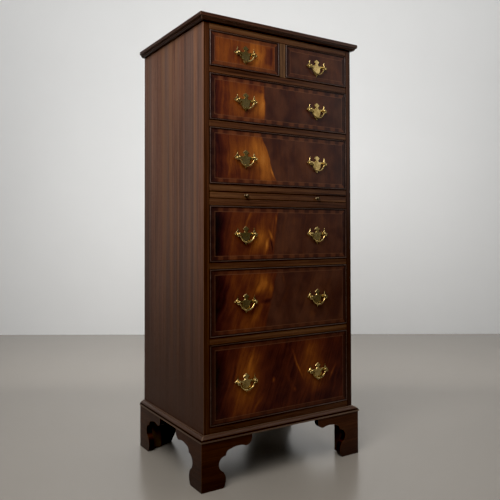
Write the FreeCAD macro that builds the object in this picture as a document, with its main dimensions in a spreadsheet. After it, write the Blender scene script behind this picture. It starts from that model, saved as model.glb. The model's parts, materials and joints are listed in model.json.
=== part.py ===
import FreeCAD, Part
import math
import os
import re
import Sketcher

V = FreeCAD.Vector
doc = FreeCAD.newDocument("tall_chest")

# Driving sizes in millimetres; +Z is up, the front faces -Y and the origin lies under the middle
SIZES = {
    # carcass
    "body_width": "560",
    "body_depth": "443",
    "side_thickness": "20",
    "top_thickness": "21",
    "back_thickness": "6",
    "back_rebate": "8",
    "bottom_thickness": "16",
    # heights of the drawer openings and of the rails between them
    "bottom_rail_height": "36",
    "bottom_opening": "236",
    "fifth_opening": "199",
    "fourth_opening": "166",
    "third_opening": "167",
    "second_opening": "138",
    "top_opening": "106",
    "rail_height": "20",
    "top_rail_height": "20",
    "rail_depth": "60",
    "divider_width": "24",
    # stub tenons, housings and running strips
    "tenon_length": "8",
    "tenon_height": "10",
    "tenon_setback": "10",
    "mortise_clearance": "0.5",
    "runner_width": "24",
    "housing_depth": "4",
    "guide_height": "30",
    "stop_width": "40",
    "stop_depth": "12",
    "stop_height": "5",
    # cornice section
    "cornice_overhang": "18",
    "cornice_foot": "5",
    "cornice_ovolo": "8",
    "cornice_quirk": "2",
    "cornice_fillet": "1.5",
    "cornice_round": "2",
    # base moulding section
    "base_overhang": "18",
    "base_height": "17",
    "base_band": "4",
    "base_quirk": "1.5",
    "base_fillet": "4",
    # scrolled bracket feet
    "foot_height": "140",
    "foot_width": "170",
    "foot_setback": "3",
    "bracket_thickness": "18",
    "toe_width": "70",
    "toe_shoulder": "48",
    "waist_top": "92",
    "scroll_width": "80",
    "wing_drop": "31",
    "wing_cusp": "98",
    "wing_end": "22",
    "wing_lip": "12",
    "back_toe_width": "110",
    "block_width": "38",
    "block_clearance": "3",
    # drawers
    "drawer_depth": "400",
    "drawer_gap": "1",
    "front_thickness": "20",
    "bead_thickness": "3",
    "bead_depth": "6",
    "bead_projection": "2.5",
    "box_thickness": "10",
    "box_drop": "6",
    "lap_thickness": "7",
    "pin_width": "9",
    "tail_pitch": "38",
    "groove_depth": "4",
    "groove_height": "8",
    "groove_clearance": "0.5",
    "panel_thickness": "5",
    # swan-neck handles
    "plate_width": "84",
    "plate_thickness": "2",
    "post_spacing": "54",
    "post_standoff": "8",
    "post_head_radius": "3.8",
    "post_neck_radius": "2.6",
    "post_collar_radius": "4.4",
    "post_collar_height": "1.2",
    "post_shank_radius": "2",
    "post_tail": "2",
    "shank_clearance": "0.3",
    "nut_radius": "5",
    "nut_thickness": "3.5",
    "wire_radius": "2",
    "pivot_clearance": "0.08",
    "pin_inset": "3",
    "neck_bend": "3.4",
    "neck_reverse": "5",
    "bow_radius": "25.5",
    "bow_drop": "25.5",
    # brushing slide and its knobs
    "slide_thickness": "22",
    "slide_gap": "1",
    "slide_depth": "400",
    "knob_radius": "6",
    "knob_length": "13",
    "knob_neck_radius": "3",
    "knob_shank_length": "14",
}

# Places worked out from the driving sizes
LAYOUT = {
    "handle_reach": "post_standoff + post_head_radius",
    "front_y": "cornice_overhang / 2 - body_depth / 2",
    "back_y": "cornice_overhang / 2 + body_depth / 2",
    "rail_back_y": "front_y + rail_depth",
    "inner_back_y": "back_y - back_thickness",
    "body_half": "body_width / 2",
    "foot_overhang": "base_overhang - foot_setback",
    "opening_half": "body_half - side_thickness",
    "divider_half": "divider_width / 2",
    "handle_offset": "(opening_half + divider_half) / 2",
    "slide_opening": "slide_thickness + slide_gap",
    "bottom_floor": "foot_height + bottom_rail_height",
    "fifth_floor": "bottom_floor + bottom_opening + rail_height",
    "fourth_floor": "fifth_floor + fifth_opening + rail_height",
    "slide_floor": "fourth_floor + fourth_opening + rail_height",
    "third_floor": "slide_floor + slide_opening + rail_height",
    "second_floor": "third_floor + third_opening + rail_height",
    "top_floor": "second_floor + second_opening + rail_height",
    "carcass_top": "top_floor + top_opening + top_rail_height",
    "front_back_y": "front_y + front_thickness",
    "drawer_back_y": "front_y + drawer_depth",
    "hole_radius": "post_shank_radius + shank_clearance",
    "post_end": "front_thickness + nut_thickness + post_tail",
}

# Bulge of an arc as a share of its chord: a quarter round, and gentler ones
QUARTER = (math.sqrt(2) - 1) / 2
GENTLE = 0.09
FULL = 0.2
SWELLING = 0.28
# Slope of the dovetails
TAIL_SLOPE = 1 / 7


def fill_sheet(name, cells, formulas=False):
    """Make a sheet with one aliased cell for each named value."""
    sheet = doc.addObject("Spreadsheet::Sheet", name)
    for row, (alias, text) in enumerate(cells.items(), start=1):
        sheet.set(f"A{row}", alias)
        sheet.set(f"B{row}", "=" + qualified(text) if formulas else text)
        sheet.setAlias(f"B{row}", alias)
    doc.recompute()
    return sheet


def qualified(formula):
    """Put the sheet's name before every alias in a formula."""
    def owner(match):
        word = match[0]
        if word in SIZES:
            return f"dims.{word}"
        return f"layout.{word}" if word in LAYOUT else word

    return re.sub(r"[A-Za-z_]\w*", owner, formula)


def bind(item, prop, formula):
    """Tie a property of an object to a formula of named sizes."""
    item.setExpression(prop, qualified(formula))


def value(formula):
    """Work out a formula of named sizes as a number."""
    return float(dims.evalExpression(qualified(formula)))


def place(item, x, y, z, rotation=None):
    """Set an object's turn and tie its place to formulas."""
    item.Placement = FreeCAD.Placement(V(), rotation or FreeCAD.Rotation())
    for axis, formula in zip("xyz", (x, y, z)):
        bind(item, f"Placement.Base.{axis}", formula)
    return item


def box(name, x_span, y_span, z_span):
    """Return a block that fills three spans of formulas."""
    block = doc.addObject("Part::Box", name)
    for size, axis, span in zip(("Length", "Width", "Height"), "xyz", (x_span, y_span, z_span)):
        bind(block, size, f"({span[1]}) - ({span[0]})")
        bind(block, f"Placement.Base.{axis}", span[0])
    return block


def rod(name, radius, x, y_span, z):
    """Return a cylinder that runs along Y."""
    pin = doc.addObject("Part::Cylinder", name)
    bind(pin, "Radius", radius)
    bind(pin, "Height", f"({y_span[1]}) - ({y_span[0]})")
    return place(pin, x, y_span[0], z, FreeCAD.Rotation(V(1, 0, 0), -90))


def fuse(name, pieces):
    """Join several pieces into one."""
    whole = doc.addObject("Part::MultiFuse", name)
    whole.Shapes = pieces
    whole.Refine = True
    return whole


def cut(name, base, tools):
    """Take one or several tools away from a base."""
    piece = doc.addObject("Part::Cut", name)
    piece.Base = base
    piece.Tool = tools[0] if len(tools) == 1 else fuse(f"{name}_tools", tools)
    return piece


def group(name, pieces):
    """Keep several separate solids together as one node."""
    bundle = doc.addObject("Part::Compound", name)
    bundle.Links = pieces
    return bundle


def copy_at(name, master, x, y, z, rotation=None):
    """Place one more copy of a master piece."""
    link = doc.addObject("App::Link", name)
    link.setLink(master)
    return place(link, x, y, z, rotation)


def mirror(name, source, normal):
    """Mirror a piece in a plane through the origin."""
    image = doc.addObject("Part::Mirroring", name)
    image.Source = source
    image.Normal = normal
    return image


def turn(angle):
    """Return a turn about the upright axis."""
    return FreeCAD.Rotation(V(0, 0, 1), angle)


def sketch_on(body, role, name):
    """Start a sketch on one of a body's own planes."""
    sketch = body.newObject("Sketcher::SketchObject", name)
    plane = [item for item in body.Origin.OriginFeatures if item.Role == role][0]
    sketch.AttachmentSupport = [(plane, "")]
    sketch.MapMode = "FlatFace"
    return sketch


def pin_point(sketch, geometry, end, x, y):
    """Fix a sketch point at two formulas."""
    for kind, axis_line, formula in (("DistanceX", -2, x), ("DistanceY", -1, y)):
        if formula == "0":
            sketch.addConstraint(Sketcher.Constraint("PointOnObject", geometry, end, axis_line))
        else:
            index = sketch.addConstraint(
                Sketcher.Constraint(kind, -1, 1, geometry, end, value(formula))
            )
            bind(sketch, f"Constraints[{index}]", formula)


def arc_middle(start, finish, share):
    """Return formulas for the middle of an arc that bulges to the right of its path."""
    (x_1, y_1), (x_2, y_2) = start, finish
    middle_x = f"(({x_1}) + ({x_2})) / 2 + {share:.5f} * (({y_2}) - ({y_1}))"
    middle_y = f"(({y_1}) + ({y_2})) / 2 - {share:.5f} * (({x_2}) - ({x_1}))"
    return middle_x, middle_y


def outline(sketch, corners):
    """Draw a closed outline from corners (x, y) or (x, y, bulge of the side that leaves it)."""
    ends = []
    count = len(corners)
    for index, corner in enumerate(corners):
        start = corner[:2]
        finish = corners[(index + 1) % count][:2]
        start_point = V(value(start[0]), value(start[1]), 0)
        finish_point = V(value(finish[0]), value(finish[1]), 0)
        if len(corner) == 2:
            side = sketch.addGeometry(Part.LineSegment(start_point, finish_point))
            ends.append((side, 1, 2))
            continue
        middle = arc_middle(start, finish, corner[2])
        middle_point = V(value(middle[0]), value(middle[1]), 0)
        side = sketch.addGeometry(Part.Arc(start_point, middle_point, finish_point))
        first = min((1, 2), key=lambda end: (sketch.getPoint(side, end) - start_point).Length)
        ends.append((side, first, 3 - first))
        helper = sketch.addGeometry(Part.Point(middle_point), True)
        sketch.addConstraint(Sketcher.Constraint("PointOnObject", helper, 1, side))
        pin_point(sketch, helper, 1, *middle)
    for index, (side, first, last) in enumerate(ends):
        following, following_first, _ = ends[(index + 1) % count]
        sketch.addConstraint(Sketcher.Constraint("Coincident", side, last, following, following_first))
        pin_point(sketch, side, first, *corners[index][:2])
    doc.recompute()


def pad(body, sketch, name, length, reverse=False):
    """Give a sketch a thickness."""
    feature = body.newObject("PartDesign::Pad", name)
    feature.Profile = sketch
    feature.Reversed = reverse
    bind(feature, "Length", length)
    doc.recompute()
    return feature


def pocket_through(body, sketch, name):
    """Cut a sketch right through, both ways."""
    feature = body.newObject("PartDesign::Pocket", name)
    feature.Profile = sketch
    feature.Type = "ThroughAll"
    feature.SideType = "Symmetric"
    doc.recompute()
    return feature


def revolve(body, sketch, name):
    """Turn a sketch about its upright axis."""
    feature = body.newObject("PartDesign::Revolution", name)
    feature.Profile = sketch
    feature.ReferenceAxis = (sketch, ["V_Axis"])
    feature.Angle = 360
    doc.recompute()
    return feature


def new_body(name):
    """Start a piece built from sketches."""
    return doc.addObject("PartDesign::Body", name)


dims = fill_sheet("dims", SIZES)
layout = fill_sheet("layout", LAYOUT, formulas=True)
nodes = {}

# Levels that carry a drawer or the slide, from the bottom up
FLOORS = ["bottom", "fifth", "fourth", "slide", "third", "second", "top"]
RAIL_SPANS = [("foot_height", "bottom_floor")]
RAIL_SPANS += [(f"{level}_floor - rail_height", f"{level}_floor") for level in FLOORS[1:]]
RAIL_SPANS += [("carcass_top - top_rail_height", "carcass_top")]
STRIP_SPANS = [(f"{level}_floor - rail_height", f"{level}_floor") for level in FLOORS]
KICKER_SPAN = ("carcass_top - top_rail_height", "carcass_top")
RUN_SPAN = ("rail_back_y", "inner_back_y")


def tenon_spans(span):
    """Return the depth and height spans of the tenon of one rail."""
    depth = ("front_y + tenon_setback", "rail_back_y - tenon_setback")
    middle = f"(({span[0]}) + ({span[1]})) / 2"
    return depth, (f"{middle} - tenon_height / 2", f"{middle} + tenon_height / 2")


def side_panels():
    """Both sides, with mortises for the rails, housings for the runners and a rebate for the back."""
    board = box(
        "side_board",
        ("-body_half", "-opening_half"),
        ("front_y", "back_y"),
        ("foot_height", "carcass_top"),
    )
    mortise_x = ("-opening_half - tenon_length - mortise_clearance", "-opening_half")
    tools = [
        box(
            "side_rebate",
            ("-opening_half - back_rebate", "-opening_half"),
            ("inner_back_y", "back_y"),
            ("foot_height", "carcass_top"),
        )
    ]
    for number, span in enumerate(RAIL_SPANS):
        depth, height = tenon_spans(span)
        tools.append(box(f"mortise_{number}", mortise_x, depth, height))
    housing_x = ("-opening_half - housing_depth", "-opening_half")
    for number, span in enumerate(STRIP_SPANS + [KICKER_SPAN]):
        tools.append(box(f"housing_{number}", housing_x, RUN_SPAN, span))
    nodes["side_panel_left"] = cut("side_panel_left", board, tools)
    nodes["side_panel_right"] = mirror("side_panel_right", nodes["side_panel_left"], V(1, 0, 0))


def rails_and_divider():
    """Eight front rails with stub tenons, and the upright between the short drawers."""
    rails = []
    divider_depth, _ = tenon_spans(RAIL_SPANS[0])
    divider_mortise_x = ("-divider_half + tenon_setback / 2", "divider_half - tenon_setback / 2")
    for number, span in enumerate(RAIL_SPANS):
        depth, height = tenon_spans(span)
        bar = box(f"rail_bar_{number}", ("-opening_half", "opening_half"), ("front_y", "rail_back_y"), span)
        tenon_x = ("-opening_half - tenon_length", "opening_half + tenon_length")
        rails.append(fuse(f"rail_{number}", [bar, box(f"rail_tenon_{number}", tenon_x, depth, height)]))
    reach = "tenon_length + mortise_clearance"
    below = box("mortise_below", divider_mortise_x, divider_depth, (f"top_floor - ({reach})", "top_floor"))
    ceiling = KICKER_SPAN[0]
    above = box("mortise_above", divider_mortise_x, divider_depth, (ceiling, f"{ceiling} + {reach}"))
    rails[-2] = cut("rail_under_short_drawers", rails[-2], [below])
    rails[-1] = cut("top_rail", rails[-1], [above])
    nodes["drawer_rails"] = group("drawer_rails", rails)
    post_x = ("-divider_half", "divider_half")
    post = box("divider_post", post_x, ("front_y", "rail_back_y"), ("top_floor", ceiling))
    stub_span = ("top_floor - tenon_length", f"{ceiling} + tenon_length")
    stub = box("divider_stub", divider_mortise_x, divider_depth, stub_span)
    nodes["short_drawer_divider"] = fuse("short_drawer_divider", [post, stub])


def running_strips():
    """Runners under every drawer, kickers over the short ones, the middle guide and the stops."""
    runners = []
    side_x = ("-opening_half - housing_depth", "-opening_half + runner_width")
    middle_x = ("-divider_half - runner_width", "divider_half + runner_width")
    for level, span in zip(FLOORS, STRIP_SPANS):
        left = box(f"{level}_runner_left", side_x, RUN_SPAN, span)
        runners += [left, mirror(f"{level}_runner_right", left, V(1, 0, 0))]
    runners.append(box("middle_runner", middle_x, RUN_SPAN, STRIP_SPANS[-1]))
    nodes["drawer_runners"] = group("drawer_runners", runners)
    kicker = box("kicker_left", side_x, RUN_SPAN, KICKER_SPAN)
    kickers = [kicker, mirror("kicker_right", kicker, V(1, 0, 0))]
    kickers.append(box("kicker_middle", middle_x, RUN_SPAN, KICKER_SPAN))
    nodes["top_kickers"] = group("top_kickers", kickers)
    guide_x = ("-divider_half", "divider_half")
    guide_z = ("top_floor", "top_floor + guide_height")
    nodes["middle_drawer_guide"] = box("middle_drawer_guide", guide_x, RUN_SPAN, guide_z)
    stops = []
    stop_y = ("front_back_y", "front_back_y + stop_depth")
    for level in FLOORS:
        if level == "slide":
            continue
        centres = ["handle_offset"] if level != "top" else ["handle_offset / 2", "handle_offset * 3 / 2"]
        for number, centre in enumerate(centres):
            stop_x = (f"{centre} - stop_width / 2", f"{centre} + stop_width / 2")
            stop_z = (f"{level}_floor", f"{level}_floor + stop_height")
            right = box(f"{level}_stop_{number}_right", stop_x, stop_y, stop_z)
            stops += [right, mirror(f"{level}_stop_{number}_left", right, V(1, 0, 0))]
    nodes["drawer_stops"] = group("drawer_stops", stops)


def boards():
    """Top board, bottom board and back panel."""
    top_z = ("carcass_top", "carcass_top + top_thickness")
    nodes["top_board"] = box("top_board", ("-body_half", "body_half"), ("front_y", "back_y"), top_z)
    bottom_z = ("foot_height", "foot_height + bottom_thickness")
    nodes["bottom_board"] = box("bottom_board", ("-opening_half", "opening_half"), RUN_SPAN, bottom_z)
    back_x = ("-opening_half - back_rebate", "opening_half + back_rebate")
    back_z = ("foot_height", "carcass_top")
    nodes["back_panel"] = box("back_panel", back_x, ("inner_back_y", "back_y"), back_z)


# Sections of the two mouldings, outwards to the left and upwards
OVOLO_OUT = "-(cornice_foot + cornice_ovolo)"
QUIRK_OUT = "-(cornice_foot + cornice_ovolo + cornice_quirk)"
LIP_BASE = "cornice_ovolo + cornice_fillet"
CORNICE_SECTION = [
    ("0", "top_thickness"),
    ("-(cornice_overhang - cornice_round)", "top_thickness", QUARTER),
    ("-cornice_overhang", "top_thickness - cornice_round"),
    ("-cornice_overhang", f"{LIP_BASE} + cornice_fillet", QUARTER),
    ("-(cornice_overhang - cornice_fillet)", LIP_BASE),
    (QUIRK_OUT, LIP_BASE),
    (QUIRK_OUT, "cornice_ovolo"),
    (OVOLO_OUT, "cornice_ovolo", QUARTER),
    ("-cornice_foot", "0"),
    ("0", "0"),
]
QUIRK_BASE = "-(base_overhang - base_quirk)"
BASE_SECTION = [
    ("0", "base_height"),
    ("-base_fillet", "base_height"),
    ("-base_fillet", "base_height - base_quirk", GENTLE),
    (QUIRK_BASE, "base_band + base_quirk"),
    (QUIRK_BASE, "base_band"),
    ("-base_overhang", "base_band"),
    ("-base_overhang", "0"),
    ("0", "0"),
]


def moulding(name, section, reach, overhang, ends):
    """A moulding along X behind which the carcass lies at y = 0, mitred outwards at the named ends."""
    body = new_body(name)
    profile = sketch_on(body, "YZ_Plane", f"{name}_section")
    outline(profile, section)
    length = pad(body, profile, f"{name}_length", f"2 * ({reach} + {overhang})")
    length.SideType = "Symmetric"
    for end in ends:
        sign = "-" if end == "left" else ""
        corner = sketch_on(body, "XY_Plane", f"{name}_{end}_mitre")
        inner = f"{sign}({reach})"
        outer = f"{sign}({reach} + {overhang})"
        outline(corner, [(inner, "0"), (outer, "0"), (outer, f"-{overhang}")])
        pocket_through(body, corner, f"{name}_{end}_cut")
    return body


def square_end(name, body, reach, overhang, end):
    """Saw a moulding off square where it ends at the back."""
    beyond = f"{reach} + {overhang}"
    x_span = (reach, beyond) if end == "right" else (f"-({beyond})", f"-({reach})")
    waste = box(f"{name}_waste", x_span, (f"-{overhang}", "0"), ("0", "top_thickness + base_height"))
    return cut(name, body, [waste])


def moulding_set(name, section, overhang, height):
    """Front length and two side lengths of one moulding, mitred at the front corners."""
    front = moulding(f"{name}_front", section, "body_half", overhang, ("left", "right"))
    left = moulding(f"{name}_left", section, "body_depth / 2", overhang, ("right",))
    right = moulding(f"{name}_right", section, "body_depth / 2", overhang, ("left",))
    left_sawn = square_end(f"{name}_left_sawn", left, "body_depth / 2", overhang, "left")
    right_sawn = square_end(f"{name}_right_sawn", right, "body_depth / 2", overhang, "right")
    middle = "(front_y + back_y) / 2"
    lengths = [
        copy_at(f"{name}_front_length", front, "0", "front_y", height),
        copy_at(f"{name}_left_length", left_sawn, "-body_half", middle, height, turn(-90)),
        copy_at(f"{name}_right_length", right_sawn, "body_half", middle, height, turn(90)),
    ]
    nodes[name] = group(name, lengths)


# Scrolled outline of a foot bracket: from the outer corner along the floor, up the scroll to the wing
WING_BASE = "foot_height - wing_drop"
SCROLL_OUTLINE = [
    ("0", "0"),
    ("toe_width", "0", FULL),
    ("toe_width", "toe_shoulder", -2 * FULL),
    ("scroll_width", "waist_top", -QUARTER),
    ("wing_cusp", WING_BASE, -GENTLE),
    ("foot_width - wing_end", WING_BASE, FULL),
    ("foot_width", "foot_height - wing_lip"),
    ("foot_width", "foot_height"),
    ("0", "foot_height"),
]
PLAIN_OUTLINE = [
    ("0", "0"),
    ("back_toe_width", "0"),
    ("foot_width", WING_BASE),
    ("foot_width", "foot_height"),
    ("0", "foot_height"),
]


def bracket(name, corners):
    """A bracket board with its outer face at y = 0, mitred at the outer corner."""
    body = new_body(name)
    face = sketch_on(body, "XZ_Plane", f"{name}_outline")
    outline(face, corners)
    pad(body, face, f"{name}_board", "bracket_thickness", reverse=True)
    corner = sketch_on(body, "XY_Plane", f"{name}_mitre")
    outline(corner, [("0", "0"), ("bracket_thickness", "bracket_thickness"), ("0", "bracket_thickness")])
    pocket_through(body, corner, f"{name}_mitre_cut")
    return body, mirror(f"{name}_mirrored", body, V(1, -1, 0))


def feet():
    """Four feet of two mitred brackets each, and the glue blocks inside them."""
    scroll, scroll_mirrored = bracket("scroll_bracket", SCROLL_OUTLINE)
    plain, plain_mirrored = bracket("plain_bracket", PLAIN_OUTLINE)
    left = "-(body_half + foot_overhang)"
    right = "body_half + foot_overhang"
    front = "front_y - foot_overhang"
    corners = [
        ("front_left_foot", left, front, 0, scroll, scroll_mirrored),
        ("front_right_foot", right, front, 90, scroll, scroll_mirrored),
        ("back_left_foot", left, "back_y", -90, scroll, plain_mirrored),
        ("back_right_foot", right, "back_y", 180, plain, scroll_mirrored),
    ]
    blocks = []
    for name, x, y, angle, first, second in corners:
        boards_of_foot = [
            copy_at(f"{name}_first", first, x, y, "0", turn(angle)),
            copy_at(f"{name}_second", second, x, y, "0", turn(angle)),
        ]
        nodes[name] = group(name, boards_of_foot)
        near = "bracket_thickness"
        far = "bracket_thickness + block_width"
        x_span = (f"{x} + {near}", f"{x} + {far}") if "left" in name else (f"{x} - ({far})", f"{x} - {near}")
        y_span = (f"{y} + {near}", f"{y} + {far}") if "front" in name else (f"{y} - ({far})", f"{y} - {near}")
        blocks.append(box(f"{name}_block", x_span, y_span, ("block_clearance", "foot_height")))
    nodes["foot_glue_blocks"] = group("foot_glue_blocks", blocks)


# Right half of the handle's back plate from its lower point to its upper one, as shares of its width,
# with the bulge of each side; the posts stand on the line z = 0
PLATE_HALF = [
    (0.0, -0.415, -GENTLE),
    (0.05, -0.32, GENTLE),
    (0.12, -0.265, GENTLE),
    (0.165, -0.075, -FULL),
    (0.24, -0.035, SWELLING),
    (0.435, -0.035, 0.0),
    (0.5, 0.0, -GENTLE),
    (0.362, 0.145, -GENTLE),
    (0.33, 0.22, -GENTLE),
    (0.27, 0.045, 0.0),
    (0.175, 0.04, -FULL),
    (0.065, 0.085, -GENTLE),
    (0.12, 0.17, -GENTLE),
]
PLATE_TIP = (0.0, 0.275)


def back_plate():
    """The shaped back plate with its two post holes, back face on y = 0."""
    body = new_body("back_plate")
    face = sketch_on(body, "XZ_Plane", "plate_outline")
    bulges = [bulge for _, _, bulge in reversed(PLATE_HALF)]
    left = [(-x, z) for x, z, _ in reversed(PLATE_HALF[1:])]
    walk = PLATE_HALF + [(*point, bulge) for point, bulge in zip([PLATE_TIP] + left, bulges)]
    corners = []
    for x, z, bulge in walk:
        corner = ("0" if x == 0 else f"{x} * plate_width", "0" if z == 0 else f"{z} * plate_width")
        corners.append(corner if bulge == 0 else (*corner, bulge))
    outline(face, corners)
    pad(body, face, "plate_sheet", "plate_thickness")
    holes = sketch_on(body, "XZ_Plane", "plate_holes")
    for sign in ("-", ""):
        sketch_circle(holes, f"{sign}post_spacing / 2", "0", "hole_radius")
    pocket_through(body, holes, "plate_post_holes")
    return body


def sketch_circle(sketch, x, y, radius):
    """Draw a circle at two formulas."""
    circle = sketch.addGeometry(Part.Circle(V(value(x), value(y), 0), V(0, 0, 1), value(radius)))
    pin_point(sketch, circle, 3, x, y)
    index = sketch.addConstraint(Sketcher.Constraint("Radius", circle, value(radius)))
    bind(sketch, f"Constraints[{index}]", radius)
    doc.recompute()


def handle_post():
    """A turned post with a collar, a drilled head and a bolt end; the drawer's face is y = 0."""
    body = new_body("handle_post")
    section = sketch_on(body, "XY_Plane", "post_section")
    collar = "-(plate_thickness + post_collar_height)"
    corners = [
        ("0", "-handle_reach", QUARTER),
        ("post_head_radius", "-post_standoff", QUARTER),
        ("post_neck_radius", "-post_standoff + post_head_radius - post_neck_radius"),
        ("post_neck_radius", collar),
        ("post_collar_radius", collar),
        ("post_collar_radius", "-plate_thickness"),
        ("post_shank_radius", "-plate_thickness"),
        ("post_shank_radius", "post_end"),
        ("0", "post_end"),
    ]
    outline(section, corners)
    revolve(body, section, "post_turning")
    drilling = sketch_on(body, "YZ_Plane", "post_drilling")
    sketch_circle(drilling, "-post_standoff", "0", "wire_radius + pivot_clearance")
    pocket_through(body, drilling, "post_pivot_hole")
    return body


def handle_nut():
    """A six-sided nut whose seat is the plane z = 0."""
    blank = doc.addObject("Part::Prism", "nut_blank")
    blank.Polygon = 6
    bind(blank, "Circumradius", "nut_radius")
    bind(blank, "Height", "nut_thickness")
    bore = doc.addObject("Part::Cylinder", "nut_bore")
    bind(bore, "Radius", "hole_radius")
    bind(bore, "Height", "nut_thickness")
    return cut("handle_nut", blank, [bore])


def flip(point):
    """Return a path point's image on the other side of the handle."""
    return V(-point.x, point.y, 0)


def handle_bail():
    """A swan-neck bail: pins in the posts, reversed necks and a round bow, swept along one path."""
    body = new_body("handle_bail")
    path = sketch_on(body, "XZ_Plane", "bail_path")
    tip = value("post_spacing / 2 - pin_inset")
    shoulder = value("post_spacing / 2 + post_head_radius + pivot_clearance")
    bend = value("neck_bend")
    reverse = value("neck_reverse")
    bow = value("bow_radius")
    bow_centre = V(0, value("bow_radius - bow_drop"), 0)
    bend_centre = V(shoulder, -bend, 0)
    # the reversed neck touches both the bend and the bow
    span = bend_centre - bow_centre
    along = ((bow + reverse) ** 2 - (bend + reverse) ** 2 + span.Length ** 2) / (2 * span.Length)
    across = math.sqrt((bow + reverse) ** 2 - along ** 2)
    unit = span / span.Length
    reverse_centre = bow_centre + unit * along + V(unit.y, -unit.x, 0) * across
    meets_bend = bend_centre + (reverse_centre - bend_centre) * (bend / (bend + reverse))
    meets_bow = bow_centre + (reverse_centre - bow_centre) * (bow / (bow + reverse))
    bend_middle = bend_centre + V(bend, 0, 0)
    neck_aim = (meets_bend + meets_bow) / 2 - reverse_centre
    neck_middle = reverse_centre + neck_aim * (reverse / neck_aim.Length)
    start = V(tip, 0, 0)
    corner = V(shoulder, 0, 0)
    bottom = bow_centre - V(0, bow, 0)
    runs = [
        Part.LineSegment(flip(start), flip(corner)),
        Part.Arc(flip(corner), flip(bend_middle), flip(meets_bend)),
        Part.Arc(flip(meets_bend), flip(neck_middle), flip(meets_bow)),
        Part.Arc(flip(meets_bow), bottom, meets_bow),
        Part.Arc(meets_bow, neck_middle, meets_bend),
        Part.Arc(meets_bend, bend_middle, corner),
        Part.LineSegment(corner, start),
    ]
    indices = [path.addGeometry(run) for run in runs]
    joints = [flip(corner), flip(meets_bend), flip(meets_bow), meets_bow, meets_bend, corner]
    for index, joint in zip(indices, joints):
        ends = [
            min((1, 2), key=lambda end, item=item: (path.getPoint(item, end) - joint).Length)
            for item in (index, index + 1)
        ]
        path.addConstraint(Sketcher.Constraint("Tangent", index, ends[0], index + 1, ends[1]))
    radii = ["neck_bend", "neck_reverse", "bow_radius", "neck_reverse", "neck_bend"]
    for index, radius in zip(indices[1:6], radii):
        constraint = path.addConstraint(Sketcher.Constraint("Radius", index, value(radius)))
        bind(path, f"Constraints[{constraint}]", radius)
    pin_point(path, indices[0], 1, "-(post_spacing / 2 - pin_inset)", "0")
    pin_point(path, indices[0], 2, "-(post_spacing / 2 + post_head_radius + pivot_clearance)", "0")
    pin_point(path, indices[6], 1, "post_spacing / 2 + post_head_radius + pivot_clearance", "0")
    pin_point(path, indices[6], 2, "post_spacing / 2 - pin_inset", "0")
    pin_point(path, indices[3], 3, "0", "bow_radius - bow_drop")
    doc.recompute()
    wire = sketch_on(body, "YZ_Plane", "bail_wire")
    bind(wire, "AttachmentOffset.Base.z", "-(post_spacing / 2 - pin_inset)")
    sketch_circle(wire, "0", "0", "wire_radius")
    sweep = body.newObject("PartDesign::AdditivePipe", "bail_sweep")
    sweep.Profile = wire
    sweep.Spine = (path, [f"Edge{number}" for number in range(1, len(runs) + 1)])
    doc.recompute()
    return body


PLATE = back_plate()
POST = handle_post()
NUT = handle_nut()
BAIL = handle_bail()


def cockbeads(name, x_span, z_span):
    """Four round-nosed strips mitred round a drawer front."""
    nose = value("bead_thickness / 2 - bead_thickness / 50")
    width = f"({x_span[1]}) - ({x_span[0]})"
    height = f"({z_span[1]}) - ({z_span[0]})"
    sides = [
        ("bottom", 0, x_span[0], z_span[0], width),
        ("right", -90, x_span[1], z_span[0], height),
        ("top", 180, x_span[1], z_span[1], width),
        ("left", 90, x_span[0], z_span[1], height),
    ]
    strips = []
    for side, angle, x, z, length in sides:
        strip = doc.addObject("Part::Wedge", f"{name}_{side}_strip")
        for prop in ("Xmin", "Ymin", "Zmin", "Z2min"):
            setattr(strip, prop, 0)
        bind(strip, "Xmax", length)
        bind(strip, "X2min", "bead_thickness")
        bind(strip, "X2max", f"{length} - bead_thickness")
        bind(strip, "Ymax", "bead_thickness")
        bind(strip, "Zmax", "bead_depth + bead_projection")
        bind(strip, "Z2max", "bead_depth + bead_projection")
        lie_back = FreeCAD.Rotation(V(1, 0, 0), 90)
        place(strip, x, "front_y + bead_depth", z, FreeCAD.Rotation(V(0, 1, 0), angle) * lie_back)
        rounded = doc.addObject("Part::Fillet", f"{name}_{side}_bead")
        rounded.Base = strip
        doc.recompute()
        front_z = value("bead_depth + bead_projection")
        local = strip.Placement.inverse()
        noses = []
        for number, edge in enumerate(strip.Shape.Edges, start=1):
            first, last = [local.multVec(vertex.Point) for vertex in edge.Vertexes]
            along = abs(first.y - last.y) < nose / 10
            if along and min(first.z, last.z) > front_z - nose / 10:
                noses.append((number, nose, nose))
        rounded.Edges = noses
        strips.append(rounded)
    return group(f"{name}_cockbead", strips)


def dovetails(name, x_span, floor, side_height):
    """The tails at the front end of one drawer side, one for each pitch of its height."""
    wedges = []
    tails = round(value(f"({side_height}) / tail_pitch"))
    flare = f"{TAIL_SLOPE:.5f} * (front_thickness - lap_thickness)"
    for number in range(tails):
        low = f"{floor} + ({side_height}) * {number} / {tails} + pin_width / 2"
        high = f"{floor} + ({side_height}) * {number + 1} / {tails} - pin_width / 2"
        tail = doc.addObject("Part::Wedge", f"{name}_tail_{number}")
        bind(tail, "Xmin", x_span[0])
        bind(tail, "Xmax", x_span[1])
        bind(tail, "X2min", x_span[0])
        bind(tail, "X2max", x_span[1])
        bind(tail, "Ymin", "front_y + lap_thickness")
        bind(tail, "Ymax", "front_back_y")
        bind(tail, "Zmin", f"{low} - {flare}")
        bind(tail, "Zmax", f"{high} + {flare}")
        bind(tail, "Z2min", low)
        bind(tail, "Z2max", high)
        wedges.append(tail)
    return wedges


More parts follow.
